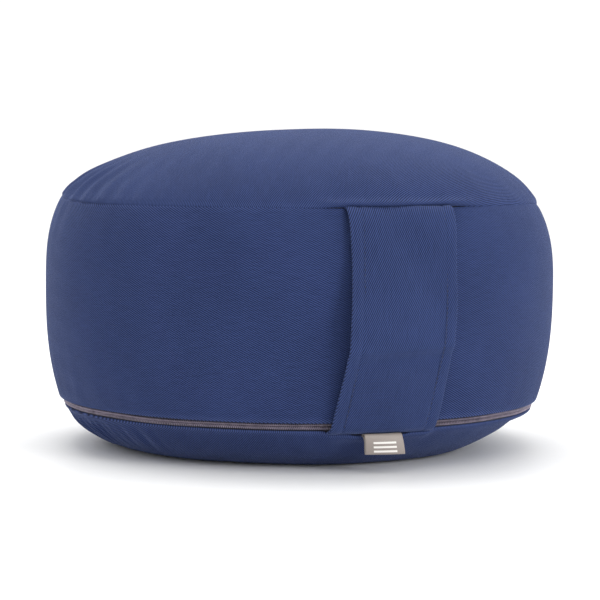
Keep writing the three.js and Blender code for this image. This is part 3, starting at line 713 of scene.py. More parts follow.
def make_strap(material):
    """The strap: a tube of cloth pressed flat, 1.8 mm thick, thinner at the rows of stitching beside its edges,
    fuller between them, with half-round edges. Its section is a closed ring carried along the line."""
    length = strap_length()
    rows = int(length / 1.1)
    share = np.linspace(0.002, 0.998, rows)[:, None]
    front = np.linspace(-1, 1, 96)[None, :]
    x_front = STRAP_HALF * np.sin(front * np.pi / 2 * 0.985)
    x_back = x_front[:, ::-4]
    x = np.concatenate([x_front, x_back], 1)
    side = np.concatenate([np.ones_like(x_front), -np.ones_like(x_back)], 1)
    edge = STRAP_HALF - np.abs(x)
    half = 0.9 * np.clip(1 - (1 - edge / 0.9).clip(0) ** 2, 0.0, 1) ** 0.5
    half = half - 0.34 * np.exp(-(((edge - 6.4) / 0.9) ** 2)) + 0.22 * np.exp(-(((edge - 3) / 2.4) ** 2))
    along = share * length
    pucker = 0.14 * np.sin(TURN * along / 3.1 + 1.3 * np.sin(along / 17)) * np.exp(-(((edge - 6.4) / 2.2) ** 2))
    belly = 0.5 * np.sin(np.pi * share) ** 2 * (1 - (x / STRAP_HALF) ** 2)
    slow = 0.8 * np.sin(along / 19 + x / 13) * np.sin(np.pi * share)
    bend = along - 0.392 * length - 0.05 * x
    crease = 0.75 * np.exp(-((bend / 2.6) ** 2)) - 0.8 * np.exp(-(((bend + 6) / 4.0) ** 2)) * step(-38, 0, x)
    crease = crease - 0.5 * np.exp(-(((bend - 7) / 5) ** 2)) * step(-20, 20, x)
    crease = crease + 1.7 * np.sin((along * 0.8 + x) / 8.5) * step(0.42, 0.62, share) * np.exp(-(((x + 3) / 17) ** 2))
    ends = np.sin(np.pi * share) ** 0.4
    lift = side * (half + pucker * (side > 0)) + (belly + slow + crease) * ends
    points = strap_surface(x, share, lift)
    wander = 0.35 * np.sin(along / 23 + 1) + 0.2 * np.sin(along / 9)
    points[..., 0] += wander * (x / STRAP_HALF) ** 3 - 1.2 * step(0.25, 0.5, share) * (-x / STRAP_HALF).clip(0) ** 2
    grid_x = np.concatenate([x[0], x[0, :1]])
    uv = np.stack(np.broadcast_arrays(along, -grid_x[None, :] + 3.3), -1)
    # Lighter along the folded edges and beside the stitching: partly rubbed wear, partly a painted highlight.
    wear_and_highlight = 0.35 * np.exp(-((edge / 1.0) ** 2)) + 0.15 * np.exp(-(((edge - 5.2) / 0.9) ** 2))
    grid = {"points": points, "wrap": (False, True), "uv": uv, "wear_and_highlight": wear_and_highlight + 0 * share}
    grids = [grid]
    for row, turned in ((0, True), (-1, False)):
        ring = points[row]
        cap = np.stack([ring, np.broadcast_to(ring.mean(0), ring.shape)])
        grids.append({"points": cap, "uv": uv[[row, row]], "flip": turned})
    obj = put_grids("strap_cloth", grids, material, weld=True)
    return face_out(obj)


def face_out(obj):
    """Turns all faces of a closed welded mesh outwards."""
    mesh = bmesh.new()
    mesh.from_mesh(obj.data)
    bmesh.ops.recalc_face_normals(mesh, faces=mesh.faces)
    if mesh.calc_volume(signed=True) < 0:
        bmesh.ops.reverse_faces(mesh, faces=mesh.faces)
    mesh.to_mesh(obj.data)
    mesh.free()
    return obj


def stitches(start, end, out, radius=0.24):
    """One lockstitch from each start to each end: a thread that comes up at one needle hole, arches over and goes
    down at the next, drawn to a point at both ends. Out holds the direction out of the cloth for each."""
    share = np.array([0.0, 0.06, 0.35, 0.65, 0.94, 1.0])
    rise = np.array([-0.5, -0.05, 0.16, 0.16, -0.05, -0.5])
    width = np.array([0.0, 0.9, 1.0, 1.0, 0.9, 0.0]) * radius
    span = (end - start)[:, None]
    line = start[:, None] + span * (0.06 + 0.88 * share)[None, :, None] + out[:, None] * rise[None, :, None]
    way = span / np.linalg.norm(span, axis=-1, keepdims=True)
    side = np.cross(way, out[:, None])
    turn = np.arange(5) / 5 * TURN
    ring = out[:, None, None] * np.cos(turn)[:, None] + side[:, :, None] * np.sin(turn)[:, None]
    points = line[:, :, None] + ring * width[None, :, None, None]
    return {"points": points.reshape(-1, 5, 3), "wrap": (False, True), "piece_rows": 6, "flip": True}


def stitch_line(line, out, pitch, radius=0.24):
    """Stitches of an even pitch along a line, with the directions out of the cloth at its points."""
    run = run_of(line)
    count = max(2, int(round(run[-1] / pitch)))
    at = np.linspace(0, run[-1], count + 1)
    spots = np.stack([np.interp(at, run, line[:, k]) for k in range(3)], -1)
    ways = np.stack([np.interp(at[:-1], run, out[:, k]) for k in range(3)], -1)
    ways /= np.linalg.norm(ways, axis=1, keepdims=True)
    return stitches(spots[:-1], spots[1:], ways, radius)



def front_of_strap(across, share):
    """A line on the strap's face at a distance to the right of its middle, and the directions out of it."""
    on = strap_surface(np.full_like(share, across), share, 0.6)
    off = strap_surface(np.full_like(share, across), share, 1.6)
    return on, off - on


# ---- Woven label ------------------------------------------------------------------------------------------------

LABEL_HALF = 11.0


def make_label(material):
    """The label: satin ribbon 0.35 mm thick, folded in half at its foot, both ends sewn in under the strap. Its
    line runs down the front layer, round the fold and up the back layer; the section is a thin box."""
    front = [(137.8, 21.6), (140.2, 22.2), (141.7, 21.4), (142.2, 18.5), (142.0, 15.0), (141.5, 11.6)]
    back = [(140.6, 11.2), (140.6, 14.6), (140.9, 17.8), (140.2, 19.8), (139.2, 20.8), (137.6, 21.0)]
    line = smooth_line(front + back, 0.45)
    run = run_of(line)[:, None]
    way = np.gradient(line, axis=0)
    way /= np.linalg.norm(way, axis=1, keepdims=True)
    x = np.linspace(-LABEL_HALF, LABEL_HALF, 33)[None, :]
    wave = 0.5 * np.sin(x / 6.5 + 0.8) * np.exp(-(((line[:, 1:] - 12) / 7) ** 2)) + 0.012 * x * (22 - line[:, 1:])

    def layer(off):
        r = line[:, :1] - way[:, 1:] * off + wave
        z = line[:, 1:] + way[:, :1] * off + 0.0 * x
        drop = x**2 / (2 * TOP_SEAM_RADIUS)
        lean = -5.2 - 0.14 * (line[:, 1:] - 21)
        return np.stack(np.broadcast_arrays(x + lean, -(r - drop), z), -1)

    outer, inner = layer(-0.18), layer(0.18)
    points = np.concatenate([outer, inner[:, ::-1]], 1)
    v = np.concatenate([x, x[:, ::-1], x[:, :1]], 1)
    uv = np.stack(np.broadcast_arrays(v, 20 - run), -1)
    grids = [{"points": points, "wrap": (False, True), "uv": uv}]
    for row in (0, -1):
        ring = points[row]
        grids.append({"points": np.stack([ring, np.broadcast_to(ring.mean(0), ring.shape)])})
    return face_out(put_grids("label_ribbon", grids, material, weld=True))


# ---- Zip --------------------------------------------------------------------------------------------------------

PITCH = 1.15  # of a size 3 coil


def make_coil(name, side, material):
    """One coil of the zip: a single nylon filament wound into a flat spiral. Across the chain it goes from the
    tape to the middle and back; a flattened sine; out of the chain it follows a cosine; along it, one pitch a
    turn. Its heads swell at the middle, where they lie between those of the other coil."""
    length = np.radians(2 * ZIP_END) * ZIP_RADIUS
    turns = int(length / PITCH)
    steps = 10
    phase = np.arange(turns * steps + 1) / steps * TURN
    swing = np.sin(phase)
    across = side * (0.86 - 0.56 * np.sign(swing) * np.abs(swing) ** 0.8) - 0.14
    out = -1.15 + 0.5 * np.cos(phase + 0.6)
    shift = 0.5 if side > 0 else 0.0
    along = (phase / TURN + shift * 0.999) * PITCH - length / 2
    angle = along / ZIP_RADIUS
    r, z = beside_zip(across, out)
    z = z + zip_wave(angle)
    line = round_axis(r, z, angle)
    head = np.clip(swing, 0, 1) ** 4
    out_way = round_axis(np.full_like(angle, np.cos(ZIP_LEAN)), -np.sin(ZIP_LEAN), angle)
    centre = round_axis(*[v + 0 * angle for v in beside_zip(side * 0.84 - 0.14, -1.15)], angle)
    centre[:, 2] += zip_wave(angle)
    outward = line - centre
    outward /= np.linalg.norm(outward, axis=1, keepdims=True)
    grid = tube_grid(line, outward + 0.001 * out_way, 0.26 + 0.06 * head, 5)
    return put_grids(name, [grid], material)


def zip_wave(angle):
    """The chain wanders up and down a little where it is eased into the seam, most at the right, and runs true
    at its ends, where the slider parks."""
    calm = step(np.radians(ZIP_END), np.radians(ZIP_END - 14), np.abs(from_angle(angle, 0)))
    return calm * (0.22 * ripple(angle, 4, 14, 71) + 0.35 * lobe(angle, 52, 26) * ripple(angle, 14, 22, 72))


def make_tape(name, line, material, tuck):
    """One tape: a woven strip 0.5 mm thick on a line in radius and height, carried round the chain's arc, with a
    beaded edge at the chain. Tuck is how far it is drawn in where the bottom panel is pulled under."""
    line = smooth_line(line, 0.9)
    angle = np.radians(np.linspace(-ZIP_END, ZIP_END, 541))[None, :]
    way = np.gradient(line, axis=0)
    way /= np.linalg.norm(way, axis=1, keepdims=True)
    normal = np.stack([way[:, 1], -way[:, 0]], -1)
    run = run_of(line)
    bead = 0.25 + 0.18 * np.exp(-((run / 0.8) ** 2))
    ring = np.concatenate([line + normal * bead[:, None], (line - normal * bead[:, None])[::-1]])
    length = angle * ZIP_RADIUS
    rows = np.concatenate([run, run[::-1], run[:1]])[:, None]
    drawn_in = tuck * lobe(angle, 65, 32) * (1 - np.exp(-((rows[:-1] / 5) ** 2)))
    points = round_axis(ring[:, :1] - drawn_in, ring[:, 1:] + zip_wave(angle) + drawn_in, angle + 0 * ring[:, :1])
    uv = np.stack(np.broadcast_arrays(length, rows), -1)
    grids = [{"points": points, "wrap": (True, False), "uv": uv}]
    for column in (0, -1):
        edge = points[:, column]
        middle = np.stack([edge, np.broadcast_to(edge.mean(0), edge.shape)])
        grids.append({"points": middle})
    return face_out(put_grids(name, grids, material, weld=True))


def pillow(outline, levels, inset, place):
    """A plate with rounded edges: its outline drawn in by inset at each level of height, closed over the middle
    at the top and the bottom. Place maps points (along, across, height) to the frame."""
    middle = outline.mean(0)
    low = np.linalg.norm(outline - middle, axis=1, keepdims=True)
    rings = [np.broadcast_to(np.append(middle, levels[0]), (len(outline), 3))]
    for height, draw in zip(levels, inset):
        ring = middle + (outline - middle) * (1 - draw / low)
        rings.append(np.concatenate([ring, np.full((len(outline), 1), height)], 1))
    rings.append(np.broadcast_to(np.append(middle, levels[-1]), (len(outline), 3)))
    return {"points": place(np.stack(rings)), "wrap": (False, True)}


def super_round(half_x, half_y, power, count=40):
    """An outline between an ellipse, at power 2, and a rectangle."""
    turn = np.arange(count) / count * TURN
    c, s = np.cos(turn), np.sin(turn)
    x, y = (half * np.sign(v) * np.abs(v) ** (2 / power) for half, v in ((half_x, c), (half_y, s)))
    return np.stack([x, y], -1)


SLIDER_MIDDLE = sum(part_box("zip_slider"), Vector((0, 0, 0)))
SLIDER_AT = np.arctan2(SLIDER_MIDDLE.x, -SLIDER_MIDDLE.y)


def beside_slider(points):
    """Along the chain from the slider's middle, across it and out of it, carried to the frame: the along runs
    round the cushion, towards the front."""
    angle = SLIDER_AT - points[..., 0] / ZIP_RADIUS
    r, z = beside_zip(points[..., 1], points[..., 2])
    return round_axis(r, z, angle)


def make_slider(material):
    """The slider: two pinched plates with rounded edges, their wings turned in over the chain, the post that
    parts the coils at its nose, and a bowed bridge for the pull."""
    along = np.linspace(-1, 1, 24)
    half = 2.3 - 0.5 * np.clip(along, 0, 1) ** 2
    outline = np.concatenate([np.stack([along * 4.2, half], -1), np.stack([along[::-1] * 4.2, -half[::-1]], -1)])
    outline = outline * (1 - 0.06 * np.abs(outline[:, :1] / 4.2) ** 6)
    inset = [0.35, 0.08, 0.0, 0.1, 0.5]
    top = np.array([0.4, 0.5, 0.85, 1.12, 1.25])
    grids = [pillow(outline, top, inset, beside_slider)]
    grids.append(pillow(outline, -3.35 - top[::-1], inset[::-1], beside_slider))
    grids[1]["points"] = grids[1]["points"][::-1]
    for side in (-1, 1):
        wing = super_round(3.6, 0.22, 5, 24) + (0, side * 2.42)
        grids.append(pillow(wing, np.array([-1.2, -1.1, 0.3, 0.62, 0.8]), [0.1, 0, 0, 0.03, 0.12], beside_slider))
    post = super_round(0.9, 0.2, 3, 20) + (3.0, 0)
    grids.append(pillow(post, np.array([-3.6, -3.5, 0.2, 0.5, 0.6]), [0, 0, 0, 0, 0], beside_slider))
    bow = np.linspace(0, np.pi, 25)
    line = np.stack([2.55 * np.cos(bow), 0 * bow, 1.1 + 1.9 * np.sin(bow) ** 0.6], -1)
    up = np.stack([0.2 * np.cos(bow), 0 * bow, np.sin(bow) + 0.05], -1)
    tube = tube_grid(line, up, 0.3, 8)
    tube["points"] = tube["points"] * (1, 1.9, 1)
    tube["points"] = beside_slider(tube["points"])
    grids.append(tube)
    return face_out(put_grids("zip_slider_body", grids, material, weld=True))


def make_pull(material):
    """The pull: a flat tag 20 mm long that widens to a rounded end, with a hole for the bridge at one end and a
    sunken panel at the other. It lies along the chain, hung on the bridge's middle. The face and back are the
    outline drawn in step by step to the hole or the panel."""
    count = 72
    turn = np.arange(count) / count * TURN
    c, s = np.cos(turn), np.sin(turn)

    def rounded(x0, x1, half0, half1, power):
        x = (x0 + x1) / 2 + (x1 - x0) / 2 * np.sign(c) * np.abs(c) ** (2 / power)
        wide = half0 + (half1 - half0) * (x - x0) / (x1 - x0)
        return np.stack([x, wide * np.sign(s) * np.abs(s) ** (2 / power)], -1)

    outer = rounded(-0.35, 20, 1.75, 2.2, 5)
    hole = rounded(0.5, 4.6, 1.05, 1.05, 4)
    sunk = rounded(8.0, 18.3, 0.9, 1.25, 4)
    pivot = np.array([0, 0, 1.95])

    def place(flat, height):
        return np.concatenate([flat, np.full((count, 1), height)], 1)

    def carried(ring):
        base = beside_slider(pivot)
        ahead = beside_slider(pivot + (0.01, 0, 0)) - base
        across = beside_slider(pivot + (0, 0.01, 0)) - base
        out = beside_slider(pivot + (0, 0, 0.01)) - base
        frame_axes = np.stack([v / np.linalg.norm(v) for v in (ahead, across, out)])
        return base + ring @ frame_axes

    rim, lip = middle_between(outer, hole, 0.03), middle_between(hole, outer, 0.05)
    loop = [place(rim, 0.35), place(outer, 0.14), place(outer, -0.14), place(rim, -0.35), place(lip, -0.35),
            place(hole, -0.2), place(hole, 0.2), place(lip, 0.35)]
    body = {"points": carried(np.stack(loop)), "wrap": (True, True)}
    frames = []
    for sign in (1, -1):
        ridge = np.stack([place(sunk, sign * 0.33), place(sunk * 1.0 + (sunk - sunk.mean(0)) * 0.04, sign * 0.46),
                          place(sunk + (sunk - sunk.mean(0)) * 0.1, sign * 0.46),
                          place(sunk + (sunk - sunk.mean(0)) * 0.14, sign * 0.33)])
        frames.append({"points": carried(ridge), "wrap": (True, True)})
    return face_out(put_grids("zip_pull_tag", [body] + frames, material))


def middle_between(a, b, share):
    """A line part of the way from one outline to another."""
    return a + (b - a) * share


# ---- Threads on the inside --------------------------------------------------------------------------------------


def make_inner_stitches(name, line, out, material, pitch=3.0):
    """A row of lockstitches on the inside of a seam."""
    grid = stitch_line(line, out, pitch, 0.26)
    return put_grids(name, [grid], material, weld=True)


def round_line(radius, height, start, end, count=400):
    """An arc round the axis from one angle to another in degrees, and the directions towards the axis."""
    angle = np.radians(np.linspace(start, end, count))
    line = round_axis(radius, height, angle)
    return line, -line / np.linalg.norm(line, axis=1, keepdims=True)


# ---- Inner bag and filling --------------------------------------------------------------------------------------


def bag_profiles():
    """Radius and height of the three panels of the inner bag. They follow the cover from inside."""
    lo, hi = (np.array(v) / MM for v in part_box("liner_band"))
    wide, foot_z, seam_z = hi[0], lo[2], hi[2]
    seam_r, foot_r = edge_of("liner_top", 1, 0), ZIP_RADIUS - 6.2
    z = np.linspace(foot_z + 0.3, seam_z - 0.3, 60)
    end_r = np.where(z > WIDEST_HEIGHT, seam_r, foot_r)
    end_z = np.where(z > WIDEST_HEIGHT, seam_z, foot_z)
    band = np.stack([wide - (wide - end_r) * np.abs((z - WIDEST_HEIGHT) / (end_z - WIDEST_HEIGHT)) ** 2.2, z], -1)
    share = np.cos(np.linspace(0, np.pi / 2, 80))
    share[-1] = 0
    top_z = edge_of("liner_top", 1, 2)
    top = np.stack([share * seam_r, seam_z + 0.3 + (top_z - seam_z - 0.3) * (1 - share**2.3) ** 0.8], -1)
    low_z, rest = edge_of("liner_bottom", 0, 2) + 0.1, REST_RADIUS - 2
    r = np.linspace(0, foot_r, 90)
    climb = np.maximum((r - rest) / (foot_r - rest), 0) ** 1.9
    bottom = np.stack([r, low_z + (foot_z - 0.3 - low_z) * climb], -1)
    return {"liner_bottom": bottom, "liner_band": band, "liner_top": top}


def make_bag(name, profile, material, seed):
    """One panel of the inner bag: its profile turned round the axis, with small creases that never go out."""
    line = evenly(profile, 3.4)
    angle = np.broadcast_to(np.arange(360) / 360 * TURN, (len(line), 360))
    run = run_of(line)[:, None]
    crease = -0.35 * np.abs(ripple(angle, 9, 40, seed)) * np.sin(np.pi * run / run[-1]) ** 0.5
    crease = crease * step(0, 50, line[:, :1])
    points = round_axis(line[:, :1], line[:, 1:], angle)
    points = points + surface_normals(points) * crease[..., None]
    uv = np.stack(np.broadcast_arrays(np.append(angle[0], TURN) * 140, run), -1)
    zero = 0 * angle
    ends = (line[0, 0] < 1, line[-1, 0] < 1)
    return cloth_shell(name, points, uv, zero, 0.35 + zero, material, ends)


def make_fill(material):
    """The hulls as one body: a closed shape turned round the axis, lumpy at the size of a hull."""
    lo, hi = (np.array(v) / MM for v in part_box("hull_fill"))
    bag = bag_profiles()
    joined = np.concatenate([bag["liner_bottom"], bag["liner_band"], bag["liner_top"]])
    line = smooth_line(joined[::5], 2.6)
    line[0], line[-1] = (0, line[0, 1]), (0, line[-1, 1])
    line[:, 0] = np.maximum(line[:, 0], 0)
    angle = np.broadcast_to(np.arange(300) / 300 * TURN, (len(line), 300))
    points = round_axis(line[:, :1], line[:, 1:], angle)
    lumps = ripple(angle, 60, 140, 91) * np.sin(run_of(line)[:, None] / 1.7 + ripple(angle, 20, 60, 92))
    depth = 2.2 - 0.5 * lumps * step(0, 45, line[:, :1])
    points = points - surface_normals(points) * depth[..., None]
    points = np.clip(points, lo, hi)
    points[0, :, :2] = points[-1, :, :2] = 0
    return put_grids("hull_fill_body", [{"points": points}], material, weld=True)


# ---- Materials --------------------------------------------------------------------------------------------------


def stripes(tree, value, spacing):
    """A wave from -1 to 1 across a value in metres, repeated at a spacing in millimetres."""
    turned = add(tree, "Math", {0: value, 1: TURN / (spacing * MM)}, operation="MULTIPLY")
    return add(tree, "Math", {0: turned.outputs[0]}, operation="SINE").outputs[0]


def blended(tree, value, share, other, other_share):
    """The sum of two values, each times its share."""
    rest = add(tree, "Math", {0: other, 1: other_share}, operation="MULTIPLY").outputs[0]
    return add(tree, "Math", {0: value, 1: share, 2: rest}, operation="MULTIPLY_ADD").outputs[0]


def sewing_thread():
    """Core-spun polyester thread, two plies twisted, dyed navy: a slight lustre, ply lines 0.6 mm apart."""
    material, tree, shader = new_material("Core-spun polyester thread, navy")
    place = add(tree, "TexCoord").outputs["Object"]
    ply = add(tree, "TexNoise", {"Vector": place}, in_Scale=1700.0, in_Detail=2.0)
    finish(tree, shader, ply.outputs[0], ("#161d3a", "#28335a"), (ply.outputs[0], 0.4, 0.0001),
           Roughness=0.6, IOR=1.5, Sheen_Weight=0.05)
    return material


def woven_satin():
    """Woven label satin of polyester: fine floats 0.5 mm wide that run down the label, pale grey-beige, with a
    plain motif of thin darker bars."""
    material, tree, shader = new_material("Polyester label satin, grey-beige")
    uv = add(tree, "UVMap", uv_map="cloth").outputs[0]
    split = add(tree, "SeparateXYZ", {0: uv})
    floats, picks = stripes(tree, split.outputs[0], 0.5), stripes(tree, split.outputs[1], 0.7)
    crossed = add(tree, "Math", {0: floats, 1: picks}, operation="MULTIPLY").outputs[0]
    weave = add(tree, "Math", {0: crossed, 1: 0.3, 2: 0.5}, operation="MULTIPLY_ADD").outputs[0]
    noise = add(tree, "TexNoise", {"Vector": uv}, in_Scale=2600.0, in_Detail=1.0)
    tone = blended(tree, noise.outputs[0], 0.6, weave, 0.5)
    ground = add(tree, "Mix", {0: tone, 6: linear("#6f6660"), 7: linear("#9a908a")}, data_type="RGBA")

    def within(value, centre, half):
        """One where a value in metres lies within half a width of a centre in millimetres, and zero elsewhere."""
        offset = add(tree, "Math", {0: value, 1: centre * MM}, operation="SUBTRACT").outputs[0]
        away = add(tree, "Math", {0: offset}, operation="ABSOLUTE").outputs[0]
        return add(tree, "Math", {0: away, 1: half * MM}, operation="LESS_THAN").outputs[0]

    bars, across = None, within(split.outputs[0], 0.0, 6.5)
    for centre in (7.0, 9.4, 11.8):
        bar = add(tree, "Math", {0: within(split.outputs[1], centre, 0.55), 1: across}, operation="MULTIPLY")
        bar = bar.outputs[0]
        bars = bar if bars is None else add(tree, "Math", {0: bars, 1: bar}, operation="MAXIMUM").outputs[0]
    cover = add(tree, "Math", {0: bars, 1: 0.75}, operation="MULTIPLY").outputs[0]
    marked = add(tree, "Mix", {0: cover, 6: ground.outputs[2], 7: linear("#f2efea")}, data_type="RGBA")
    tree.links.new(marked.outputs[2], shader.inputs["Base Color"])
    bump = add(tree, "Bump", {"Height": weave}, in_Strength=0.35, in_Distance=0.0001)
    tree.links.new(bump.outputs[0], shader.inputs["Normal"])
    shader.inputs["Roughness"].default_value = 0.5
    shader.inputs["IOR"].default_value = 1.55
    shader.inputs["Sheen Weight"].default_value = 0.15
    return material


def nylon_coil():
    """Extruded nylon 6 filament, dyed mauve-grey: waxy and slightly translucent, soft highlights."""
    material, tree, shader = new_material("Nylon 6 filament, mauve-grey")
    place = add(tree, "TexCoord").outputs["Object"]
    cloud = add(tree, "TexNoise", {"Vector": place}, in_Scale=260.0, in_Detail=2.0)
    finish(tree, shader, cloud.outputs[0], ("#4a4356", "#aa9eae"), (cloud.outputs[0], 0.1, 0.0001),
           Roughness=0.42, IOR=1.53)
    return material


def zip_tape():
    """Woven polyester zip tape, dark mauve: a herringbone of 1.4 mm columns, matt."""
    material, tree, shader = new_material("Polyester zip tape, dark mauve")
    uv = add(tree, "UVMap", uv_map="cloth").outputs[0]
    split = add(tree, "SeparateXYZ", {0: uv})
    column = add(tree, "Math", {0: split.outputs[1], 1: 1.4 * MM}, operation="PINGPONG").outputs[0]
    slant = add(tree, "Math", {0: split.outputs[0], 1: column}, operation="ADD").outputs[0]
    wave = stripes(tree, slant, 0.6)
    rib = add(tree, "Math", {0: wave, 1: 0.5, 2: 0.5}, operation="MULTIPLY_ADD").outputs[0]
    noise = add(tree, "TexNoise", {"Vector": uv}, in_Scale=2400.0, in_Detail=2.0)
    tone = blended(tree, noise.outputs[0], 0.5, rib, 0.5)
    finish(tree, shader, tone, ("#1d1c2a", "#38354a"), (rib, 0.5, 0.00015),
           Roughness=0.85, Sheen_Weight=0.2)
    return material


def zinc_casting():
    """Die-cast zinc alloy, plated dull nickel: satin metal with a fine tumbled grain 0.3 mm across and slightly
    brighter rubbed patches."""
    material, tree, shader = new_material("Zinc die casting, dull nickel plate")
    place = add(tree, "TexCoord").outputs["Object"]
    grain = add(tree, "TexNoise", {"Vector": place}, in_Scale=3300.0, in_Detail=2.0)
    patch = add(tree, "TexNoise", {"Vector": place}, in_Scale=420.0, in_Detail=3.0)
    rough = add(tree, "Math", {0: patch.outputs[0], 1: 0.25, 2: 0.22}, operation="MULTIPLY_ADD").outputs[0]
    tree.links.new(rough, shader.inputs["Roughness"])
    finish(tree, shader, patch.outputs[0], ("#6a6970", "#a9a8ad"), (grain.outputs[0], 0.15, 0.00005),
           Metallic=1.0)
    return material


def calico():
    """Unbleached plain-weave cotton calico: yarns 0.6 mm apart both ways, with darker seed flecks."""
    material, tree, shader = new_material("Unbleached cotton calico")
    uv = add(tree, "UVMap", uv_map="cloth").outputs[0]
    split = add(tree, "SeparateXYZ", {0: uv})
    warp, weft = (stripes(tree, split.outputs[k], 1.2) for k in (0, 1))
    crossed = add(tree, "Math", {0: warp, 1: weft}, operation="MULTIPLY").outputs[0]
    weave = add(tree, "Math", {0: crossed, 1: 0.5, 2: 0.5}, operation="MULTIPLY_ADD").outputs[0]
    fleck = add(tree, "TexNoise", {"Vector": uv}, in_Scale=900.0, in_Detail=3.0)
    tone = blended(tree, fleck.outputs[0], 0.7, weave, 0.3)
    finish(tree, shader, tone, ("#b8a987", "#e6dcc4"), (weave, 0.4, 0.0002),
           Roughness=0.92)
    return material


def buckwheat_hulls():
    """Dried buckwheat hulls: dark brown angular shells 5 mm across, drawn as cells, with pale broken edges."""
    material, tree, shader = new_material("Buckwheat hulls")
    place = add(tree, "TexCoord").outputs["Object"]
    cells = add(tree, "TexVoronoi", {"Vector": place}, in_Scale=200.0)
    edge = add(tree, "TexVoronoi", {"Vector": place}, feature="DISTANCE_TO_EDGE", in_Scale=200.0)
    finish(tree, shader, cells.outputs["Distance"], ("#6b4d36", "#2c1e15"), (edge.outputs["Distance"], 0.9, 0.001),
           Roughness=0.7)
    return material


def pale_floor():
    """White studio floor: eggshell enamel on board, a soft sheen and a trace of roller texture 8 mm across."""
    material, tree, shader = new_material("Eggshell enamel, white")
    place = add(tree, "TexCoord").outputs["Object"]
    roller = add(tree, "TexNoise", {"Vector": place}, in_Scale=120.0, in_Detail=2.0)
    finish(tree, shader, roller.outputs[0], ("#f7f7f6", "#fbfbfa"), None,
           Roughness=0.5, Specular_IOR_Level=0.5)
    return material


# ---- Settings ---------------------------------------------------------------------------------------------------


class TwillSettings(bpy.types.PropertyGroup):
    """Cloth of the cover."""

    dark: bpy.props.StringProperty(name="Furrow colour", description="sRGB hex between the ribs", default="#0e1834")
    light: bpy.props.StringProperty(name="Rib colour", description="sRGB hex on the ribs", default="#39497b")
    # Lighter colour at folded edges: partly rubbed wear, partly a painted highlight.
    worn_and_lit: bpy.props.StringProperty(name="Rubbed colour", description="sRGB hex at folded edges", default="#6a769f")
    # The strap's two shades are the cover's, painted slightly lighter for the light that falls on the strap.
    strap_dark_painted_lighter: bpy.props.StringProperty(
        name="Strap furrow colour", description="sRGB hex between the strap's ribs", default="#101a36")
    strap_light_painted_lighter: bpy.props.StringProperty(
        name="Strap rib colour", description="sRGB hex on the strap's ribs", default="#3b4b7c")
    columns: bpy.props.IntProperty(name="Columns", description="Steps round the cushion", default=720, min=96)


class StageSettings(bpy.types.PropertyGroup):
    """Camera, lights and floor."""

    distance: bpy.props.FloatProperty(
        name="Camera distance", description="From the cushion's axis", default=1.5, unit="LENGTH")
    height: bpy.props.FloatProperty(name="Camera height", description="Above the floor", default=0.2, unit="LENGTH")
    turn: bpy.props.FloatProperty(
        name="Camera turn", description="To the left of the strap", default=float(CAMERA_TURN), subtype="ANGLE")
    sky: bpy.props.FloatProperty(name="Sky light", description="Strength of the white surroundings", default=1.1)


MATERIALS = {}


def cloth_material():
    """The cover's twill, made once."""
    if "twill" not in MATERIALS:
        s = bpy.context.scene.cushion_twill
        MATERIALS["twill"] = cotton_twill("Cotton drill, navy", s.dark, s.light, s.worn_and_lit)
    return MATERIALS["twill"]


def shared(maker):
    """A material made by its function the first time and shared after that."""
    if maker.__name__ not in MATERIALS:
        MATERIALS[maker.__name__] = maker()
    return MATERIALS[maker.__name__]


# ---- Operators --------------------------------------------------------------------------------------------------


class CUSHION_OT_cover(bpy.types.Operator):
    """Makes the cover's bottom panel, side band and top panel, with their folds"""

    bl_idname = "cushion.cover"
    bl_label = "Cover panels"

    def execute(self, context):
        columns = context.scene.cushion_twill.columns
        turn = np.arange(columns) / columns * TURN
        twill = cloth_material()
        folds = simulated_folds(turn)
        makers = {"bottom_panel": (make_bottom, (True, False)), "side_band": (make_band, (False, False)),
                  "top_panel": (make_top, (False, True))}
        for node, (maker, ends) in makers.items():
            outer, uv, wear_and_highlight, depth = maker(turn[None, :], folds)
            obj = cloth_shell("cover_" + node, outer, uv, wear_and_highlight, depth, twill, ends)
            declare(obj, "cushion", "cotton_twill", node)
        return {"FINISHED"}


class CUSHION_OT_strap(bpy.types.Operator):
    """Makes the carry strap and its two rows of stitching"""

    bl_idname = "cushion.strap"
    bl_label = "Carry strap"

    def execute(self, context):
        s = context.scene.cushion_twill
        # A second copy of the twill in the strap's lighter shades: painted light on the strap.
        cloth = cotton_twill("Cotton drill, navy, cut lengthwise", s.strap_dark_painted_lighter, s.strap_light_painted_lighter, s.worn_and_lit)
        strap = declare(make_strap(cloth), "cushion", "cotton_twill", "carry_strap")
        strap_length() * MM
        share = np.linspace(0.05, 0.95, 160)
        for side, across in (("left", -24.1), ("right", 24.1)):
            line, out = front_of_strap(across, share)
            row = put_grids("strap_stitches_" + side, [stitch_line(line, out, 3.1, 0.19)],
                            shared(sewing_thread), weld=True)
            declare(row, "cushion", "sewing_thread", "strap_stitching_" + side)
        return {"FINISHED"}


class CUSHION_OT_label(bpy.types.Operator):
    """Makes the folded woven label under the strap"""

    bl_idname = "cushion.label"
    bl_label = "Woven label"

    def execute(self, context):
        label = declare(make_label(shared(woven_satin)), "cushion", "woven_satin", "woven_label")
        return {"FINISHED"}


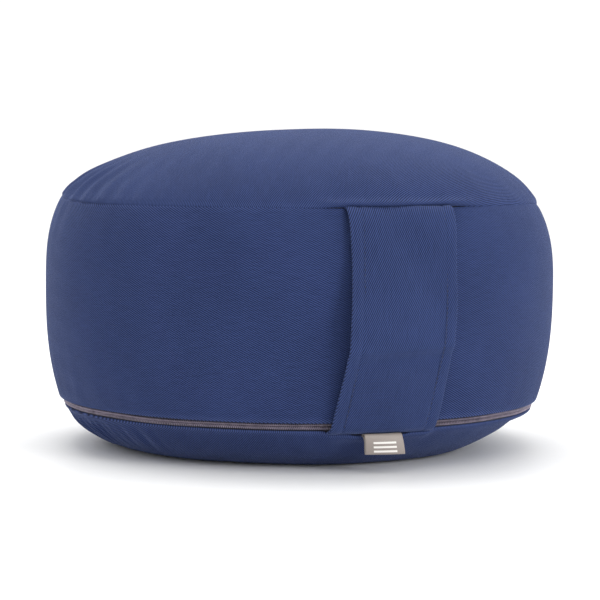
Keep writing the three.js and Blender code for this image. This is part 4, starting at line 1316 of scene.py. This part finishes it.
class CUSHION_OT_zip(bpy.types.Operator):
    """Makes the two coils and the two tapes of the zip, and gives the frame's two stops the coils' nylon"""

    bl_idname = "cushion.zip"
    bl_label = "Coil zip"

    def execute(self, context):
        for name, side in (("upper", 1), ("lower", -1)):
            coil = make_coil(f"coil_{name}", side, shared(nylon_coil))
            declare(coil, "cushion", "nylon_coil", f"zip_coil_{name}")
        upper = [beside_zip(0.5, -2.05), beside_zip(1.6, -2.1), (BAND_FOOT[0] - 2.6, BAND_FOOT[1] + 1.2),
                 (band_radius(np.array(BAND_FOOT[1] + 6))[()] - 3.0, BAND_FOOT[1] + 6),
                 (band_radius(np.array(BAND_FOOT[1] + 12))[()] - 3.0, BAND_FOOT[1] + 12)]
        lower = [beside_zip(-0.5, -2.05), beside_zip(-1.6, -2.1), beside_zip(-3.2, -2.7),
                 (133.6, bottom_height(133.6) + 2.6), (129.4, bottom_height(129.4) + 2.6)]
        for name, line, tuck in (("upper", upper, 0), ("lower", lower, 1.8)):
            tape = make_tape(f"tape_{name}", line, shared(zip_tape), tuck)
            declare(tape, "cushion", "zip_tape", f"zip_tape_{name}")
            width = run_of(smooth_line(line, 0.9))[-1] * MM
        for node in ("zip_stop_closed_end", "zip_stop_open_end"):
            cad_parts[node].data.materials.clear()
            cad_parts[node].data.materials.append(shared(nylon_coil))
        return {"FINISHED"}


class CUSHION_OT_slider(bpy.types.Operator):
    """Makes the slider and its pull"""

    bl_idname = "cushion.slider"
    bl_label = "Slider and pull"

    def execute(self, context):
        declare(make_slider(shared(zinc_casting)), "slider", "zinc_casting", "zip_slider")
        declare(make_pull(shared(zinc_casting)), "pull", "zinc_casting", "zip_pull")
        return {"FINISHED"}


class CUSHION_OT_seams(bpy.types.Operator):
    """Makes the rows of stitching on the inside of the seams"""

    bl_idname = "cushion.seams"
    bl_label = "Inner seams"

    def execute(self, context):
        rows = {
            "top_seam_thread": round_line(edge_of("top_seam_thread", 1, 0) - 0.3, TOP_SEAM - 2, 0, 360),
            "tape_thread_upper": round_line(edge_of("tape_thread_upper", 1, 0) - 0.3,
                                            edge_of("tape_thread_upper", 0, 2) + 0.3, -ZIP_END, ZIP_END),
            "tape_thread_lower": round_line(edge_of("tape_thread_lower", 1, 0) - 0.3,
                                            edge_of("tape_thread_lower", 0, 2) + 0.3, -ZIP_END, ZIP_END),
            "rear_seam_thread": round_line(edge_of("rear_seam_thread", 1, 1) - 0.3,
                                           edge_of("rear_seam_thread", 0, 2) + 0.4, 141, 219),
        }
        z = np.linspace(50, 130, 60)
        closing = round_axis(band_radius(z) - 1.9, z, np.full_like(z, np.pi))
        rows["band_closing_thread"] = (closing, np.broadcast_to((0.0, -1.0, 0.0), closing.shape))
        for node, (line, out) in rows.items():
            row = make_inner_stitches("stitches_" + node, line, out, shared(sewing_thread))
            declare(row, "cushion", "sewing_thread", node)
        return {"FINISHED"}


class CUSHION_OT_inner_bag(bpy.types.Operator):
    """Makes the inner bag's three panels, its closing stitches and the hulls in it"""

    bl_idname = "cushion.inner_bag"
    bl_label = "Inner bag and hulls"

    def execute(self, context):
        for seed, (node, profile) in enumerate(bag_profiles().items(), 81):
            panel = make_bag(node.replace("liner", "inner"), profile, shared(calico), seed)
            declare(panel, "cushion", "calico", node)
        line, out = round_line(ZIP_RADIUS - 5.6, ZIP_HEIGHT - 1.2, 150, 210, 120)
        row = make_inner_stitches("inner_closing_stitches", line, -out, shared(sewing_thread), 4.0)
        declare(row, "cushion", "sewing_thread", "liner_closing_thread")
        fill = declare(make_fill(shared(buckwheat_hulls)), "cushion", "buckwheat_hulls", "hull_fill")
        return {"FINISHED"}


class CUSHION_OT_stage(bpy.types.Operator):
    """Makes the floor, the lights and the camera"""

    bl_idname = "cushion.stage"
    bl_label = "Stage"

    def execute(self, context):
        s = context.scene.cushion_stage
        grid = np.stack(np.meshgrid(FLOOR_LINES, FLOOR_LINES), -1)
        points = np.concatenate([grid, np.full(grid.shape[:2] + (1,), -0.05)], -1)
        floor = put_grids("floor", [{"points": points, "wrap": (False, False)}], shared(pale_floor))
        world = bpy.data.worlds.new("White studio")
        world.use_nodes = True
        world.node_tree.nodes["Background"].inputs[0].default_value = linear("#ffffff")
        world.node_tree.nodes["Background"].inputs[1].default_value = s.sky
        context.scene.world = world
        context.scene.view_settings.view_transform = "Standard"
        for name, place, size, power in LAMPS:
            lamp = bpy.data.lights.new(name, "AREA")
            lamp.shape = "RECTANGLE"
            lamp.size, lamp.size_y = size
            lamp.energy = power
            obj = bpy.data.objects.new(name, lamp)
            context.scene.collection.objects.link(obj)
            place = Vector(place)
            aim = (Vector((0, 0, 0.1)) - place).to_track_quat("-Z", "Y")
            obj.matrix_world = Matrix.Translation(place) @ aim.to_matrix().to_4x4()
        camera = bpy.data.cameras.new("camera")
        camera.lens, camera.sensor_width = 151.9, 36
        camera.clip_end = 50
        camera.shift_x = 0.0022
        eye = Vector((s.distance * np.sin(s.turn), -s.distance * np.cos(s.turn), s.height))
        down = np.radians(4.4)
        ahead = Vector((-np.sin(s.turn) * np.cos(down), np.cos(s.turn) * np.cos(down), -np.sin(down)))
        look = ahead.to_track_quat("-Z", "Y").to_matrix().to_4x4()
        rig = bpy.data.objects.new("camera", camera)
        context.scene.collection.objects.link(rig)
        rig.matrix_world = Matrix.Translation(eye) @ look @ Matrix.Rotation(np.radians(CAMERA_ROLL), 4, "Z")
        context.scene.camera = rig
        return {"FINISHED"}


CAMERA_ROLL = 0.5
FLOOR_LINES = np.linspace(-60000, 60000, 25)
# Name, place in metres, width and height, power in watts
LAMPS = (
    ("overhead softbox", (0.05, 0.45, 1.6), (1.4, 1.0), 15),
    ("key softbox", (1.0, -1.9, 0.75), (0.7, 0.7), 18),
)


class VIEW3D_PT_cushion(bpy.types.Panel):
    """Lists the operators that make the cushion"""

    bl_label = "Floor cushion"
    bl_space_type = "VIEW_3D"
    bl_region_type = "UI"
    bl_category = "Cushion"

    def draw(self, context):
        for group in ("cushion_twill", "cushion_stage"):
            settings = getattr(context.scene, group)
            for key in settings.__annotations__:
                self.layout.prop(settings, key)
        for operator in OPERATORS:
            self.layout.operator(operator.bl_idname)


OPERATORS = (
    CUSHION_OT_stage,
    CUSHION_OT_cover,
    CUSHION_OT_strap,
    CUSHION_OT_label,
    CUSHION_OT_zip,
    CUSHION_OT_slider,
    CUSHION_OT_seams,
    CUSHION_OT_inner_bag,
)
CLASSES = (TwillSettings, StageSettings, *OPERATORS, VIEW3D_PT_cushion)


def register():
    for cls in CLASSES:
        bpy.utils.register_class(cls)
    bpy.types.Scene.cushion_twill = bpy.props.PointerProperty(type=TwillSettings)
    bpy.types.Scene.cushion_stage = bpy.props.PointerProperty(type=StageSettings)


def unregister():
    del bpy.types.Scene.cushion_stage, bpy.types.Scene.cushion_twill
    for cls in reversed(CLASSES):
        bpy.utils.unregister_class(cls)


def main():
    register()
    bpy.ops.cushion.stage()
    bpy.ops.cushion.cover()
    bpy.ops.cushion.strap()
    bpy.ops.cushion.label()
    bpy.ops.cushion.zip()
    bpy.ops.cushion.slider()
    bpy.ops.cushion.seams()
    bpy.ops.cushion.inner_bag()


if __name__ == "__main__":
    main()
